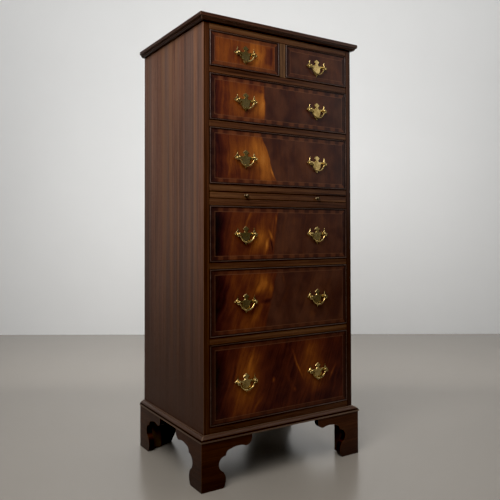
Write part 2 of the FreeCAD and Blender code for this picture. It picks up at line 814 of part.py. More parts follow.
def drawer(name, level, left, right, handles):
    """One drawer: beaded front, dovetailed box, fittings and bails."""
    floor = f"{level}_floor"
    opening = f"{level}_opening"
    x_low = f"{left} + drawer_gap"
    x_high = f"{right} - drawer_gap"
    side_height = f"{opening} - box_drop"
    front_z = (f"{floor} + drawer_gap", f"{floor} + {opening} - drawer_gap")
    handle_z = f"{floor} + {opening} / 2"
    left_x = (x_low, f"{x_low} + box_thickness")
    right_x = (f"{x_high} - box_thickness", x_high)
    panel_x = (f"{left_x[1]} - groove_depth", f"{right_x[0]} + groove_depth")
    panel_z = (f"{floor} + groove_height", f"{floor} + groove_height + panel_thickness")
    run = ("front_back_y", "drawer_back_y")

    # box sides with tails, grooves for the bottom and housings for the back
    back_y = ("drawer_back_y - 2 * box_thickness", "drawer_back_y - box_thickness")
    box_z = (panel_z[1], f"{floor} + {side_height}")
    tails_of = {}
    box_pieces = []
    for side, span in (("left", left_x), ("right", right_x)):
        tails_of[side] = dovetails(f"{name}_{side}", span, floor, side_height)
        board = box(f"{name}_{side}_board", span, run, (floor, f"{floor} + {side_height}"))
        whole = fuse(f"{name}_{side}_tailed", [board] + tails_of[side])
        depth = "groove_depth + groove_clearance"
        slot_x = (f"{span[1]} - ({depth})", span[1]) if side == "left" else (span[0], f"{span[0]} + {depth}")
        slot = box(f"{name}_{side}_slot", slot_x, ("front_y + lap_thickness", "drawer_back_y"), panel_z)
        housing = box(f"{name}_{side}_housing", slot_x, back_y, box_z)
        box_pieces.append(cut(f"{name}_{side}_side", whole, [slot, housing]))
    back_z = (panel_z[1], f"{floor} + {side_height} - box_drop")
    box_pieces.append(box(f"{name}_back_board", panel_x, back_y, back_z))
    panel_y = ("front_back_y - groove_depth", "drawer_back_y")
    box_pieces.append(box(f"{name}_bottom_panel", panel_x, panel_y, panel_z))
    nodes[f"{name}_box"] = group(f"{name}_box", box_pieces)

    # front with a rebate for the beads, sockets, a groove and the bolt holes
    face_x = (f"{x_low} + bead_thickness", f"{x_high} - bead_thickness")
    face_z = (f"{front_z[0]} + bead_thickness", f"{front_z[1]} - bead_thickness")
    face = box(f"{name}_face", face_x, ("front_y", "front_y + bead_depth"), face_z)
    ground = box(f"{name}_ground", (x_low, x_high), ("front_y + bead_depth", "front_back_y"), front_z)
    blank = fuse(f"{name}_blank", [face, ground])
    groove_y = ("front_back_y - groove_depth - groove_clearance", "front_back_y")
    tools = [box(f"{name}_front_groove", panel_x, groove_y, panel_z)]
    tools += tails_of["left"] + tails_of["right"]
    through = ("front_y", "front_back_y")
    for number, centre in enumerate(handles):
        for sign, post_side in (("-", "left"), ("+", "right")):
            post_x = f"{centre} {sign} post_spacing / 2"
            hole_name = f"{name}_hole_{number}_{post_side}"
            tools.append(rod(hole_name, "hole_radius", post_x, through, handle_z))
    nodes[f"{name}_front"] = cut(f"{name}_front", blank, tools)
    nodes[f"{name}_cockbead"] = cockbeads(name, (x_low, x_high), front_z)

    # plates, posts and nuts stay with the drawer, each bail swings
    fittings = []
    for number, centre in enumerate(handles):
        fittings.append(copy_at(f"{name}_plate_{number}", PLATE, centre, "front_y", handle_z))
        for sign in ("-", "+"):
            post_x = f"{centre} {sign} post_spacing / 2"
            suffix = f"{number}_{'left' if sign == '-' else 'right'}"
            fittings.append(copy_at(f"{name}_post_{suffix}", POST, post_x, "front_y", handle_z))
            seat = FreeCAD.Rotation(V(1, 0, 0), -90)
            fittings.append(copy_at(f"{name}_nut_{suffix}", NUT, post_x, "front_back_y", handle_z, seat))
        bail_name = f"{name}_bail" if len(handles) == 1 else f"{name}_bail_{('left', 'right')[number]}"
        bail = copy_at(f"{bail_name}_copy", BAIL, centre, "front_y - post_standoff", handle_z)
        nodes[bail_name] = group(bail_name, [bail])
    nodes[f"{name}_fittings"] = group(f"{name}_fittings", fittings)


def brushing_slide():
    """The pull-out board over the fourth drawer, with two turned knobs on its front edge."""
    slide_x = ("-opening_half + drawer_gap", "opening_half - drawer_gap")
    slide_z = ("slide_floor", "slide_floor + slide_thickness")
    board = box("slide_blank", slide_x, ("front_y", "front_y + slide_depth"), slide_z)
    middle = "slide_floor + slide_thickness / 2"
    knob = new_body("slide_knob")
    section = sketch_on(knob, "XY_Plane", "knob_section")
    shank = "post_shank_radius"
    corners = [
        ("0", "-knob_length", QUARTER),
        ("knob_radius", "-knob_length + knob_radius", QUARTER),
        ("knob_neck_radius", "-knob_length + 2 * knob_radius - knob_neck_radius", -GENTLE),
        ("knob_radius - post_collar_height", "0"),
        (shank, "0"),
        (shank, "knob_shank_length"),
        ("0", "knob_shank_length"),
    ]
    outline(section, corners)
    revolve(knob, section, "knob_turning")
    holes = []
    knobs = []
    for side, centre in (("left", "-handle_offset"), ("right", "handle_offset")):
        depth = ("front_y", "front_y + knob_shank_length + shank_clearance")
        holes.append(rod(f"slide_hole_{side}", "hole_radius", centre, depth, middle))
        knobs.append(copy_at(f"slide_knob_{side}", knob, centre, "front_y", middle))
    nodes["brushing_slide"] = cut("brushing_slide", board, holes)
    nodes["brushing_slide_knobs"] = group("brushing_slide_knobs", knobs)


side_panels()
rails_and_divider()
running_strips()
boards()
moulding_set("cornice_moulding", CORNICE_SECTION, "cornice_overhang", "carcass_top")
moulding_set("base_moulding", BASE_SECTION, "base_overhang", "foot_height")
feet()
drawer("top_left_drawer", "top", "-opening_half", "-divider_half", ["-handle_offset"])
drawer("top_right_drawer", "top", "divider_half", "opening_half", ["handle_offset"])
for level in ("second", "third", "fourth", "fifth", "bottom"):
    both = ["-handle_offset", "handle_offset"]
    drawer(f"{level}_drawer", level, "-opening_half", "opening_half", both)
brushing_slide()
doc.recompute()

# Check every object before anything is written
for item in doc.Objects:
    troubled = {"Invalid", "Error"} & set(item.State)
    if troubled:
        raise RuntimeError(f"{item.Name} did not build: {item.State}")
for name, item in nodes.items():
    item.Label = name
    if item.Shape.isNull() or not item.Shape.isValid() or not item.Shape.Solids:
        raise RuntimeError(f"{name} is not a sound solid")

os.makedirs("parts", exist_ok=True)
for name, item in nodes.items():
    item.Shape.exportStep(f"parts/{name}.step")
print(f"{len(nodes)} nodes, {sum(len(item.Shape.Solids) for item in nodes.values())} solids")
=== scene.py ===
import json
import logging
import math
from dataclasses import dataclass, replace
from enum import Enum
from itertools import product
from typing import Iterable, Sequence

import bmesh
import bpy
from mathutils import Matrix, Vector


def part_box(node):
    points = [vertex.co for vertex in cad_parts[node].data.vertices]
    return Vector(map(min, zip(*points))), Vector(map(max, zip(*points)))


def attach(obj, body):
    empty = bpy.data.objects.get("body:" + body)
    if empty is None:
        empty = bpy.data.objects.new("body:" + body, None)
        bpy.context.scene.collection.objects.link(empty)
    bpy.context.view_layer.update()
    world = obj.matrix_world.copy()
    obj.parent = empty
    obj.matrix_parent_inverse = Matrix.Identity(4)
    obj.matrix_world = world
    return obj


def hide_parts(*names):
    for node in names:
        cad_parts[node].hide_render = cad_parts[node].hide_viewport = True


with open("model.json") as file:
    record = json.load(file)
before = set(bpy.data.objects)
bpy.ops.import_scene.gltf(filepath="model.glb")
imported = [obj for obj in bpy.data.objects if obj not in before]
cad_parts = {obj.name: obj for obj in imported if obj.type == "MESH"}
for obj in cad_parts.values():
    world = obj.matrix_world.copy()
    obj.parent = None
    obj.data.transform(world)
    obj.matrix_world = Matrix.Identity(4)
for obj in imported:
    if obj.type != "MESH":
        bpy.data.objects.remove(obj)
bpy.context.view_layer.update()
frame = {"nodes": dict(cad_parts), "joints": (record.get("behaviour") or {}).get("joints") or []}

LOG = logging.getLogger("tall_chest")
MM = 0.001
QUARTER_TURN = math.pi / 2
FULL_TURN = 2 * math.pi
SAME_POINT = 0.01 * MM      # modelled points nearer than this are one
WELD_GAP = 0.001 * MM       # CAD points nearer than this are one
FACE_DEPTH = 0.4 * MM       # what lies this near a front plane counts as the front
BEVEL_STEPS = 2
BEVEL_ANGLE = 40            # degrees above which a CAD edge is softened
FLAT_CREASE = 30            # degrees above which a modelled edge stays crisp
TURNED_CREASE = 40
WIRE_CREASE = 60

Colour = tuple[float, float, float]
Point = tuple[float, float, float]
Span = tuple[float, float]
Box = tuple[Vector, Vector]
Socket = bpy.types.NodeSocket
Node = bpy.types.Node
Material = bpy.types.Material
Mesh = bmesh.types.BMesh
Vert = bmesh.types.BMVert
Feed = Socket | float | Sequence[float]
Seams = Sequence[tuple[str, float]]

ONE_BAIL = ("",)
TWO_BAILS = ("_left", "_right")
DRAWERS = {
    "top_left_drawer": ONE_BAIL,
    "top_right_drawer": ONE_BAIL,
    "second_drawer": TWO_BAILS,
    "third_drawer": TWO_BAILS,
    "fourth_drawer": TWO_BAILS,
    "fifth_drawer": TWO_BAILS,
    "bottom_drawer": TWO_BAILS,
}


class Grain(Enum):
    """The way a board's grain runs; the value lists the axes as along, across, across."""

    WIDE = "XYZ"
    DEEP = "YXZ"
    TALL = "ZXY"


class Mitre(Enum):
    """The end at which a mitred frame turns its corner."""

    FRONT = "front"
    BACK = "back"


class Edge(Enum):
    """The width of a wooden piece's soft edge, in metres."""

    CRISP = 0.0
    FINE = 0.4 * MM
    SMALL = 0.5 * MM
    SOFT = 0.7 * MM


class Wear(Enum):
    """A face's state: the share of the polish that is lost, and the ending of its material's name."""

    WHOLE = (0.0, "")
    RUBBED = (1.0, "_edges")


class Bench:
    """Lays out the shader nodes of one finish."""

    OPENNESS_SAMPLES = 4

    def __init__(self, name: str) -> None:
        """Start a material that holds a plain shader."""
        self.material = bpy.data.materials.new(name)
        self.material.use_nodes = True
        self.tree = self.material.node_tree
        self.shader = next(n for n in self.tree.nodes if n.type == "BSDF_PRINCIPLED")
        self.place = self.node("ShaderNodeTexCoord").outputs["Object"]

    def node(self, kind: str, **settings: object) -> Node:
        """Add one node of a kind, with its properties set."""
        made = self.tree.nodes.new(kind)
        for key, value in settings.items():
            setattr(made, key, value)
        return made

    def feed(self, socket: Socket, value: Feed) -> None:
        """Link a socket, or set it to a number, vector or colour."""
        if isinstance(value, bpy.types.NodeSocket):
            self.tree.links.new(value, socket)
        elif socket.type == "RGBA" and len(value) == 3:
            socket.default_value = (*value, 1.0)
        else:
            socket.default_value = value

    def feed_all(self, node: Node, values: Iterable[Feed]) -> Node:
        """Feed a node's first inputs in their order, and return the node."""
        for socket, value in zip(node.inputs, values):
            self.feed(socket, value)
        return node

    def set(self, **inputs: Feed) -> None:
        """Feed the shader's inputs, named with underscores for spaces."""
        for key, value in inputs.items():
            self.feed(self.shader.inputs[key.replace("_", " ")], value)

    def math(self, operation: str, *values: Feed) -> Socket:
        """Return the result of one sum."""
        return self.feed_all(self.node("ShaderNodeMath", operation=operation), values).outputs[0]

    def total(self, values: Iterable[Feed]) -> Socket:
        """Return the sum of several values."""
        first, *rest = values
        for value in rest:
            first = self.math("ADD", first, value)
        return first

    def apart(self, first: Feed, second: Feed) -> Socket:
        """Return how far two values are from each other."""
        return self.math("ABSOLUTE", self.math("SUBTRACT", first, second))

    def swung(self, value: Socket, depth: float, middle: float = 0.0) -> Socket:
        """Return a noise value made to swing by some depth about a middle."""
        return self.math("MULTIPLY_ADD", value, depth, middle - depth / 2)

    def vector(self, operation: str, *values: Feed) -> Socket:
        """Return the result of one vector sum, a number where it is a length or a dot product."""
        made = self.feed_all(self.node("ShaderNodeVectorMath", operation=operation), values)
        return made.outputs["Value" if operation in ("LENGTH", "DOT_PRODUCT") else "Vector"]

    def axes(self, vector: Socket) -> dict[str, Socket]:
        """Return the three parts of a vector by letter."""
        made = self.feed_all(self.node("ShaderNodeSeparateXYZ"), [vector])
        return {letter: made.outputs[letter] for letter in "XYZ"}

    def joined(self, parts: Iterable[Feed]) -> Socket:
        """Return a vector made of three parts."""
        return self.feed_all(self.node("ShaderNodeCombineXYZ"), parts).outputs[0]

    def along(self, run: Grain) -> Socket:
        """Return the place on a board with the way of its grain along X."""
        parts = self.axes(self.place)
        return self.joined(parts[letter] for letter in run.value)

    def blend(self, share: Feed, first: Feed, second: Feed, kind: str = "RGBA") -> Socket:
        """Return the first of two colours, or vectors, at a share of 0 and the second at 1."""
        made = self.node("ShaderNodeMix", data_type=kind)
        sides = [s for s in made.inputs if s.type == kind and s.name in "AB"]
        self.feed(made.inputs[0], share)
        for socket, value in zip(sides, (first, second)):
            self.feed(socket, value)
        return next(s for s in made.outputs if s.type == kind)

    def fade(self, value: Feed, edge: Span, low: Feed = 0.0, high: Feed = 1.0) -> Socket:
        """Ease from low to high while a value goes from the start of an edge to its end."""
        made = self.node("ShaderNodeMapRange", interpolation_type="SMOOTHSTEP")
        return self.feed_all(made, (value, *edge, low, high)).outputs[0]

    def stain(self, colour: Feed, other: Feed, value: Socket, edge: Span, most: float = 1.0) -> Socket:
        """Lay another colour over one, at most by some share, where a value passes an edge."""
        return self.blend(self.fade(value, edge, high=most), colour, other)

    def ramp(self, value: Socket, stops: Sequence[tuple[float, Colour]]) -> Socket:
        """Turn a value into a colour by stops of (value, colour)."""
        made = self.node("ShaderNodeValToRGB")
        elements = made.color_ramp.elements
        while len(elements) < len(stops):
            elements.new(0.5)
        for element, (position, colour) in zip(elements, stops):
            element.position = position
            element.color = (*colour, 1.0)
        return self.feed_all(made, [value]).outputs[0]

    def local(self, vector: Socket, place: Sequence[float], lean: float, size: Sequence[float]) -> Socket:
        """Return a vector in the axes of a leaning patch, with a length of 1 at the patch's rim."""
        made = self.node("ShaderNodeMapping", vector_type="TEXTURE")
        turn = (0.0, math.radians(lean), 0.0)
        return self.feed_all(made, (vector, place, turn, size)).outputs[0]

    def stretched(self, vector: Socket, scale: Sequence[float]) -> Socket:
        """Return a vector scaled along each axis."""
        return self.vector("MULTIPLY", vector, scale)

    def noise(self, vector: Socket, scale: float, detail: float) -> Node:
        """Return a noise texture's node; output 0 is its value and output 1 its colour."""
        made = self.node("ShaderNodeTexNoise")
        for key, value in (("Vector", vector), ("Scale", scale), ("Detail", detail)):
            self.feed(made.inputs[key], value)
        return made

    def speckle(self, vector: Socket, scale: Sequence[float], detail: float) -> Socket:
        """Return a noise value with its own scale along each axis."""
        return self.noise(self.stretched(vector, scale), 1.0, detail).outputs[0]

    def openness(self, reach: float, inside: bool = False) -> Socket:
        """Return 1 in the open, falling to 0 deep in a corner, or by an edge when looked at from inside."""
        made = self.node("ShaderNodeAmbientOcclusion", samples=self.OPENNESS_SAMPLES, inside=inside)
        self.feed(made.inputs["Distance"], reach)
        return made.outputs["AO"]

    def relief(self, height: Socket, strength: float, depth: float) -> None:
        """Give the shader a bump of some depth in metres."""
        made = self.node("ShaderNodeBump")
        for key, value in (("Strength", strength), ("Distance", depth), ("Height", height)):
            self.feed(made.inputs[key], value)
        self.set(Normal=made.outputs[0])


@dataclass(frozen=True)
class Timber:
    """A polished or plain wood: colours in linear light, sizes in metres."""

    name: str
    shadow: Colour
    heart: Colour
    light: Colour
    worn: Colour
    stripe: float = 0.011
    stripe_depth: float = 0.5
    roughness: float = 0.36
    shine: float = 0.16
    coat: float = 0.04
    dirt_and_shade: float = 0.55
    dirt_and_shade_reach: float = 0.010
    wear_reach: float = 0.0014
    deep_shade: float = 0.0

    PORE_BLUR = 0.15
    PORE_DEPTH = -0.8
    DIRT_AND_SHADE_SOOT = 0.35
    INWARD_SHADE_SOOT = 0.3
    TO_MIDDLE = (-1.0, -1.0, 0.0)
    DOWNWARD = (0.0, 0.0, -0.15)

    def soot_and_shade(self, share: float) -> Colour:
        """Return the shadow's colour at a share of its light, for grime and painted shade."""
        return tuple(part * share for part in self.shadow)

    def mitred_place(self, bench: Bench, corner: Mitre, box: Box) -> Socket:
        """Return the place on a mitred frame with the grain along X on each of its sides."""
        parts = bench.axes(bench.place)
        low, high = box
        half_width = max(abs(low.x), abs(high.x))
        to_side = bench.math("SUBTRACT", half_width, bench.math("ABSOLUTE", parts["X"]))
        ends = (parts["Y"], low.y) if corner is Mitre.FRONT else (high.y, parts["Y"])
        on_side = bench.math("LESS_THAN", to_side, bench.math("SUBTRACT", *ends))
        return bench.blend(on_side, bench.along(Grain.WIDE), bench.along(Grain.DEEP), kind="VECTOR")

    def finish(self, bench: Bench, place: Socket, wear: Feed, seams: Seams = ()) -> Socket:
        """Lay grain, pores, polish, grime and painted shade on a material.

        Args:
            bench: the material under way.
            place: the place on the board with the grain along X.
            wear: how much of the polish is lost, 0 to 1.
            seams: the planes along which grime and painted shade darken the wood, each by its axis and its
                place on it.

        Returns:
            The colour of the wood.
        """
        across = 1 / self.stripe
        bent = bench.noise(bench.stretched(place, (2.2, 9.0, 9.0)), scale=1.0, detail=1.0).outputs[1]
        wavy = bench.vector("MULTIPLY_ADD", bent, (0.0, 0.012, 0.012), place)
        stripes = bench.speckle(wavy, scale=(1.1, across, across), detail=2.0)
        broad = bench.speckle(place, scale=(1.6, 7.0, 7.0), detail=1.0)
        fibres = bench.speckle(wavy, scale=(14.0, 520.0, 520.0), detail=3.0)
        pores = bench.speckle(wavy, scale=(60.0, 1500.0, 1500.0), detail=1.0)
        pits = bench.fade(pores, edge=(0.58, 0.7))
        tone = bench.total([
            bench.swung(stripes, depth=self.stripe_depth, middle=0.5),
            bench.swung(broad, depth=0.5),
            bench.swung(fibres, depth=0.5),
        ])
        colour = bench.ramp(tone, [(0.22, self.shadow), (0.5, self.heart), (0.8, self.light)])
        colour = bench.stain(colour, self.shadow, pores, edge=(0.58, 0.7), most=0.45)
        if wear:
            patchy = bench.fade(broad, edge=(0.35, 0.65), low=0.25, high=0.85)
            colour = bench.blend(bench.math("MULTIPLY", wear, patchy), colour, self.worn)
        # Painted shade, with grime: the wood darkens in its corners and hollows.
        soot_and_shade = self.soot_and_shade(self.DIRT_AND_SHADE_SOOT)
        corners = bench.openness(self.dirt_and_shade_reach)
        colour = bench.stain(colour, soot_and_shade, corners, edge=(0.9, 0.25), most=self.dirt_and_shade)
        # Painted shade: the wood darkens where it is closed in over a wide reach.
        if self.deep_shade:
            depths = bench.openness(reach=0.25)
            colour = bench.stain(colour, soot_and_shade, depths, edge=(0.62, 0.3), most=self.deep_shade)
        parts = bench.axes(bench.place)
        shine: Feed = self.shine
        # Painted shade, with grime, darkens the wood along each seam and dulls its shine there.
        for letter, at in seams:
            seam_shade = bench.fade(bench.apart(parts[letter], at), edge=(3.6 * MM, 1.0 * MM), high=0.92)
            colour = bench.blend(seam_shade, colour, soot_and_shade)
            shine = bench.math("MULTIPLY", shine, bench.math("SUBTRACT", 1.0, seam_shade))
        blur = bench.swung(broad, depth=0.16, middle=self.roughness)
        bench.set(
            Base_Color=colour,
            Roughness=bench.math("MULTIPLY_ADD", pits, self.PORE_BLUR, blur),
            Specular_IOR_Level=shine,
            Coat_Weight=self.coat,
            Coat_Roughness=0.2,
        )
        height = bench.math("MULTIPLY_ADD", pits, self.PORE_DEPTH, fibres)
        bench.relief(height, strength=0.18, depth=0.15 * MM)
        return colour

    def material(self, run: Grain, label: str, wear: Wear, seams: Seams = ()) -> Material:
        """Return the material of a board's whole or rubbed faces."""
        lost, ending = wear.value
        bench = Bench(f"{self.name}_{label}{ending}")
        self.finish(bench, bench.along(run), lost, seams)
        return bench.material

    def materials(self, run: Grain, label: str, seams: Seams = ()) -> list[Material]:
        """Return the material of the faces and that of the worn edges."""
        return [self.material(run, label, wear, seams) for wear in Wear]

    def solid(self, corner: Mitre, box: Box, label: str, seams: Seams = ()) -> list[Material]:
        """Return the one material of a mitred piece: worn edges, painted shade where it looks inward."""
        bench = Bench(f"{self.name}_{label}")
        worn = bench.fade(bench.openness(self.wear_reach, inside=True), edge=(0.97, 0.7))
        colour = self.finish(bench, self.mitred_place(bench, corner, box), worn, seams)
        # Painted shade: faces that look inward and down are darkened.
        to_middle = bench.vector("MULTIPLY_ADD", bench.place, self.TO_MIDDLE, self.DOWNWARD)
        normal = bench.node("ShaderNodeNewGeometry").outputs["Normal"]
        inward = bench.vector("DOT_PRODUCT", to_middle, normal)
        soot_and_shade = self.soot_and_shade(self.INWARD_SHADE_SOOT)
        bench.set(Base_Color=bench.stain(colour, soot_and_shade, inward, edge=(0.0, 0.08), most=0.9))
        return [bench.material]


@dataclass(frozen=True)
class RibbonTimber(Timber):
    """Upright wood, ribbons amber and greyish (partly painted sheen), painted shade darkening it towards
    its foot.
    """

    sheen_grey: Colour = (0.092, 0.0570, 0.0450)
    amber: Colour = (0.190, 0.0880, 0.0430)
    falloff_height: float = 0.62

    def lipped(self, lip: Timber, box: Box, label: str, seams: Seams) -> list[Material]:
        """Return the materials of a panel whose front edge is faced with another timber.

        Args:
            lip: the timber of the facing.
            box: the lowest and highest corner of the panel.
            label: the panel's name.
            seams: the planes along which grime and painted shade darken the facing.

        Returns:
            The material of the faces and that of the worn edges.
        """
        made = []
        low, high = box
        for wear in Wear:
            lost, ending = wear.value
            bench = Bench(f"{self.name}_{label}{ending}")
            place = bench.along(Grain.TALL)
            facing = lip.finish(bench, place, lost, seams)
            panel = self.finish(bench, place, lost)
            parts = bench.axes(bench.place)
            # The greyish ribbons paint part of the polish's sheen as well as the figure.
            ribbon = bench.noise(bench.stretched(bench.place, (0.0, 26.0, 0.5)), scale=1.0, detail=1.0)
            panel = bench.stain(panel, self.sheen_grey, ribbon.outputs[0], edge=(0.42, 0.6), most=0.62)
            hue = bench.axes(ribbon.outputs[1])["Y"]
            panel = bench.stain(panel, self.amber, hue, edge=(0.52, 0.66), most=0.6)
            # Painted shade: the panel darkens towards its foot.
            painted_falloff = (high.z * self.falloff_height, low.z)
            panel = bench.stain(panel, self.shadow, parts["Z"], edge=painted_falloff, most=0.9)
            on_lip = bench.math("LESS_THAN", parts["Y"], low.y + FACE_DEPTH)
            bench.set(Base_Color=bench.blend(on_lip, panel, facing))
            made.append(bench.material)
        return made


POLISHED = Timber(
    "polished_mahogany",
    shadow=(0.014, 0.0036, 0.0010),
    heart=(0.050, 0.0168, 0.0048),
    light=(0.108, 0.0430, 0.0140),
    worn=(0.150, 0.0700, 0.0300),
)
RAIL = replace(
    POLISHED,
    name="rail_mahogany",
    heart=(0.064, 0.0220, 0.0085),
    light=(0.136, 0.0590, 0.0220),
    stripe=0.007,
    stripe_depth=0.9,
    dirt_and_shade=0.9,
    dirt_and_shade_reach=0.014,
)
DIVIDER = replace(
    RAIL,
    name="divider_mahogany",
    heart=(0.110, 0.0520, 0.0220),
    light=(0.190, 0.1000, 0.0460),
)
STILE = replace(
    RAIL,
    name="stile_mahogany",
    heart=(0.036, 0.0105, 0.0034),
    light=(0.074, 0.0250, 0.0085),
)
# Its worn colour and wide wear reach also paint highlights along the moulding's arrises.
MOULDED = replace(
    POLISHED,
    name="moulded_mahogany",
    heart=(0.050, 0.0200, 0.0090),
    light=(0.100, 0.0470, 0.0240),
    worn=(0.215, 0.1320, 0.0860),
    shine=0.3,
    dirt_and_shade=0.85,
    dirt_and_shade_reach=0.012,
    wear_reach=0.003,
)
STRIPED = RibbonTimber(
    "ribbon_mahogany",
    shadow=(0.040, 0.0130, 0.0060),
    heart=(0.130, 0.0575, 0.0350),
    light=(0.242, 0.1220, 0.0780),
    worn=(0.220, 0.1100, 0.0600),
    stripe=0.009,
    stripe_depth=0.85,
)
DARK = Timber(
    "dark_mahogany",
    shadow=(0.010, 0.0035, 0.0018),
    heart=(0.030, 0.0100, 0.0050),
    light=(0.065, 0.0240, 0.0120),
    worn=(0.150, 0.0900, 0.0600),
    roughness=0.32,
    shine=0.3,
)
REDDISH = Timber(
    "reddish_mahogany",
    shadow=(0.009, 0.0016, 0.0006),
    heart=(0.038, 0.0098, 0.0028),
    light=(0.084, 0.0260, 0.0078),
    worn=(0.100, 0.0380, 0.0140),
    deep_shade=0.92,
)
# Its pale greyish tones paint part of the bead's highlight as well as its wood.
BEAD = Timber(
    "cockbead_mahogany",
    shadow=(0.014, 0.0050, 0.0025),
    heart=(0.055, 0.0290, 0.0210),
    light=(0.120, 0.0700, 0.0520),
    worn=(0.120, 0.0600, 0.0360),
    roughness=0.3,
    shine=0.2,
    coat=0.06,
    dirt_and_shade=0.92,
)
INNER = Timber(
    "drawer_lining",
    shadow=(0.170, 0.0850, 0.0380),
    heart=(0.300, 0.1700, 0.0850),
    light=(0.420, 0.2700, 0.1500),
    worn=(0.460, 0.3100, 0.1900),
    stripe=0.016,
    roughness=0.62,
    shine=0.2,
    coat=0.0,
    dirt_and_shade=0.4,
)
AGED = Timber(
    "aged_softwood",
    shadow=(0.040, 0.0220, 0.0110),
    heart=(0.085, 0.0500, 0.0270),
    light=(0.140, 0.0880, 0.0500),
    worn=(0.160, 0.1050, 0.0640),
    stripe=0.016,
    roughness=0.75,
    shine=0.1,
    coat=0.0,
    deep_shade=0.8,
)


@dataclass(frozen=True)
class Plume:
    """A lit or shaded patch of the flame figure: middle and half size in millimetres, lean in degrees."""

    x: float
    z: float
    across: float
    along: float
    lean: float
    glow: float
    square: bool = False


@dataclass(frozen=True)
class Figure:
    """The flame figure of one drawer front, in millimetres from its middle; its light part paints lit
    sheen, its dark part shade.
    """

    split: float
    slant: float
    light: float
    dark: float
    lean: float
    blocks: float
    plumes: tuple[Plume, ...]
    blur: float = 7.0


FIGURES = {
    "top_left_drawer": Figure(
        split=400, slant=0.0, light=0.47, dark=0.34, lean=2, blocks=0.35,
        plumes=(
            Plume(40, -2, 70, 90, 0, 0.26), Plume(86, 2, 16, 28, 0, -0.17, square=True),
            Plume(-70, -5, 24, 60, 6, 0.10), Plume(-112, 0, 18, 90, 0, -0.10),
        ),
    ),
    "top_right_drawer": Figure(
        split=-400, slant=0.0, light=0.5, dark=0.36, lean=-3, blocks=0.35,
        plumes=(
            Plume(-82, 0, 17, 38, 0, -0.16, square=True), Plume(70, -6, 60, 60, 0, 0.10),
            Plume(-20, 20, 40, 30, 10, -0.05),
        ),
    ),
    "second_drawer": Figure(
        split=-69, slant=0.03, light=0.42, dark=0.34, lean=3, blocks=1.0, blur=4.0,
        plumes=(
            Plume(-78, -8, 44, 76, 2, 0.44), Plume(-150, 4, 70, 74, 4, 0.20),
            Plume(-258, 0, 50, 240, 0, -0.30), Plume(-206, 0, 12, 110, 3, -0.10),
            Plume(-84, 34, 14, 9, 0, -0.12), Plume(40, -50, 90, 12, 0, -0.14),
            Plume(240, 0, 48, 200, 0, -0.12), Plume(130, 6, 70, 70, 0, 0.08),
        ),
    ),
    "third_drawer": Figure(
        split=-52, slant=0.42, light=0.41, dark=0.39, lean=-4, blocks=1.0, blur=1.5,
        plumes=(
            Plume(-78, 0, 62, 130, -22, 0.38), Plume(-36, -44, 6, 34, -24, 0.30),
            Plume(-84, -38, 14, 22, -10, -0.08), Plume(-258, 0, 72, 260, 0, -0.30),
            Plume(-188, -20, 7, 74, 18, 0.08), Plume(-150, 10, 70, 80, 0, 0.18),
            Plume(80, -4, 60, 70, 0, 0.10), Plume(250, 0, 60, 200, 0, -0.13),
        ),
    ),
    "fourth_drawer": Figure(
        split=-27, slant=-0.18, light=0.41, dark=0.40, lean=8, blocks=0.9, blur=5.0,
        plumes=(
            Plume(-46, -4, 9, 30, -28, 0.32), Plume(-62, -34, 10, 34, 20, 0.38),
            Plume(-88, -20, 50, 66, 12, 0.30), Plume(-44, -34, 5, 30, -6, -0.30),
            Plume(-130, 40, 8, 40, 22, 0.20), Plume(-26, 44, 7, 22, -12, 0.24),
            Plume(-252, 0, 72, 260, 0, -0.46), Plume(40, 40, 34, 20, 0, 0.08),
            Plume(250, 0, 60, 200, 0, -0.12),
        ),
    ),
    "fifth_drawer": Figure(
        split=-46, slant=-0.25, light=0.41, dark=0.35, lean=22, blocks=0.4, blur=5.0,
        plumes=(
            Plume(-76, 52, 44, 48, 28, 0.30), Plume(-92, 30, 12, 26, 20, 0.18),
            Plume(-46, 36, 12, 26, 8, 0.22), Plume(-50, 0, 52, 11, -16, -0.26),
            Plume(-54, -40, 30, 44, 10, -0.12), Plume(-96, -46, 22, 64, 30, 0.26),
            Plume(-252, 0, 82, 300, 0, -0.40), Plume(2, 62, 9, 24, -22, 0.24),
            Plume(112, -60, 20, 24, 0, 0.16), Plume(150, 10, 110, 140, 0, 0.08),
        ),
    ),
    "bottom_drawer": Figure(
        split=400, slant=0.0, light=0.26, dark=0.26, lean=20, blocks=0.25,
        plumes=(
            Plume(-134, 0, 90, 190, 8, 0.38), Plume(-94, -76, 10, 48, 28, 0.22),
            Plume(-118, 60, 12, 44, 14, 0.18), Plume(-178, 20, 8, 80, 10, -0.12),
            Plume(118, 14, 90, 170, -8, 0.30), Plume(54, 26, 6, 78, -25, 0.30),
            Plume(200, -16, 7, 46, 26, 0.24), Plume(-36, -10, 9, 13, 30, 0.34),
            Plume(44, -52, 10, 12, 0, 0.22), Plume(20, -20, 14, 40, -20, 0.10),
            Plume(-250, 0, 54, 320, 0, -0.24), Plume(150, -84, 66, 34, 0, -0.14),
        ),
    ),
}


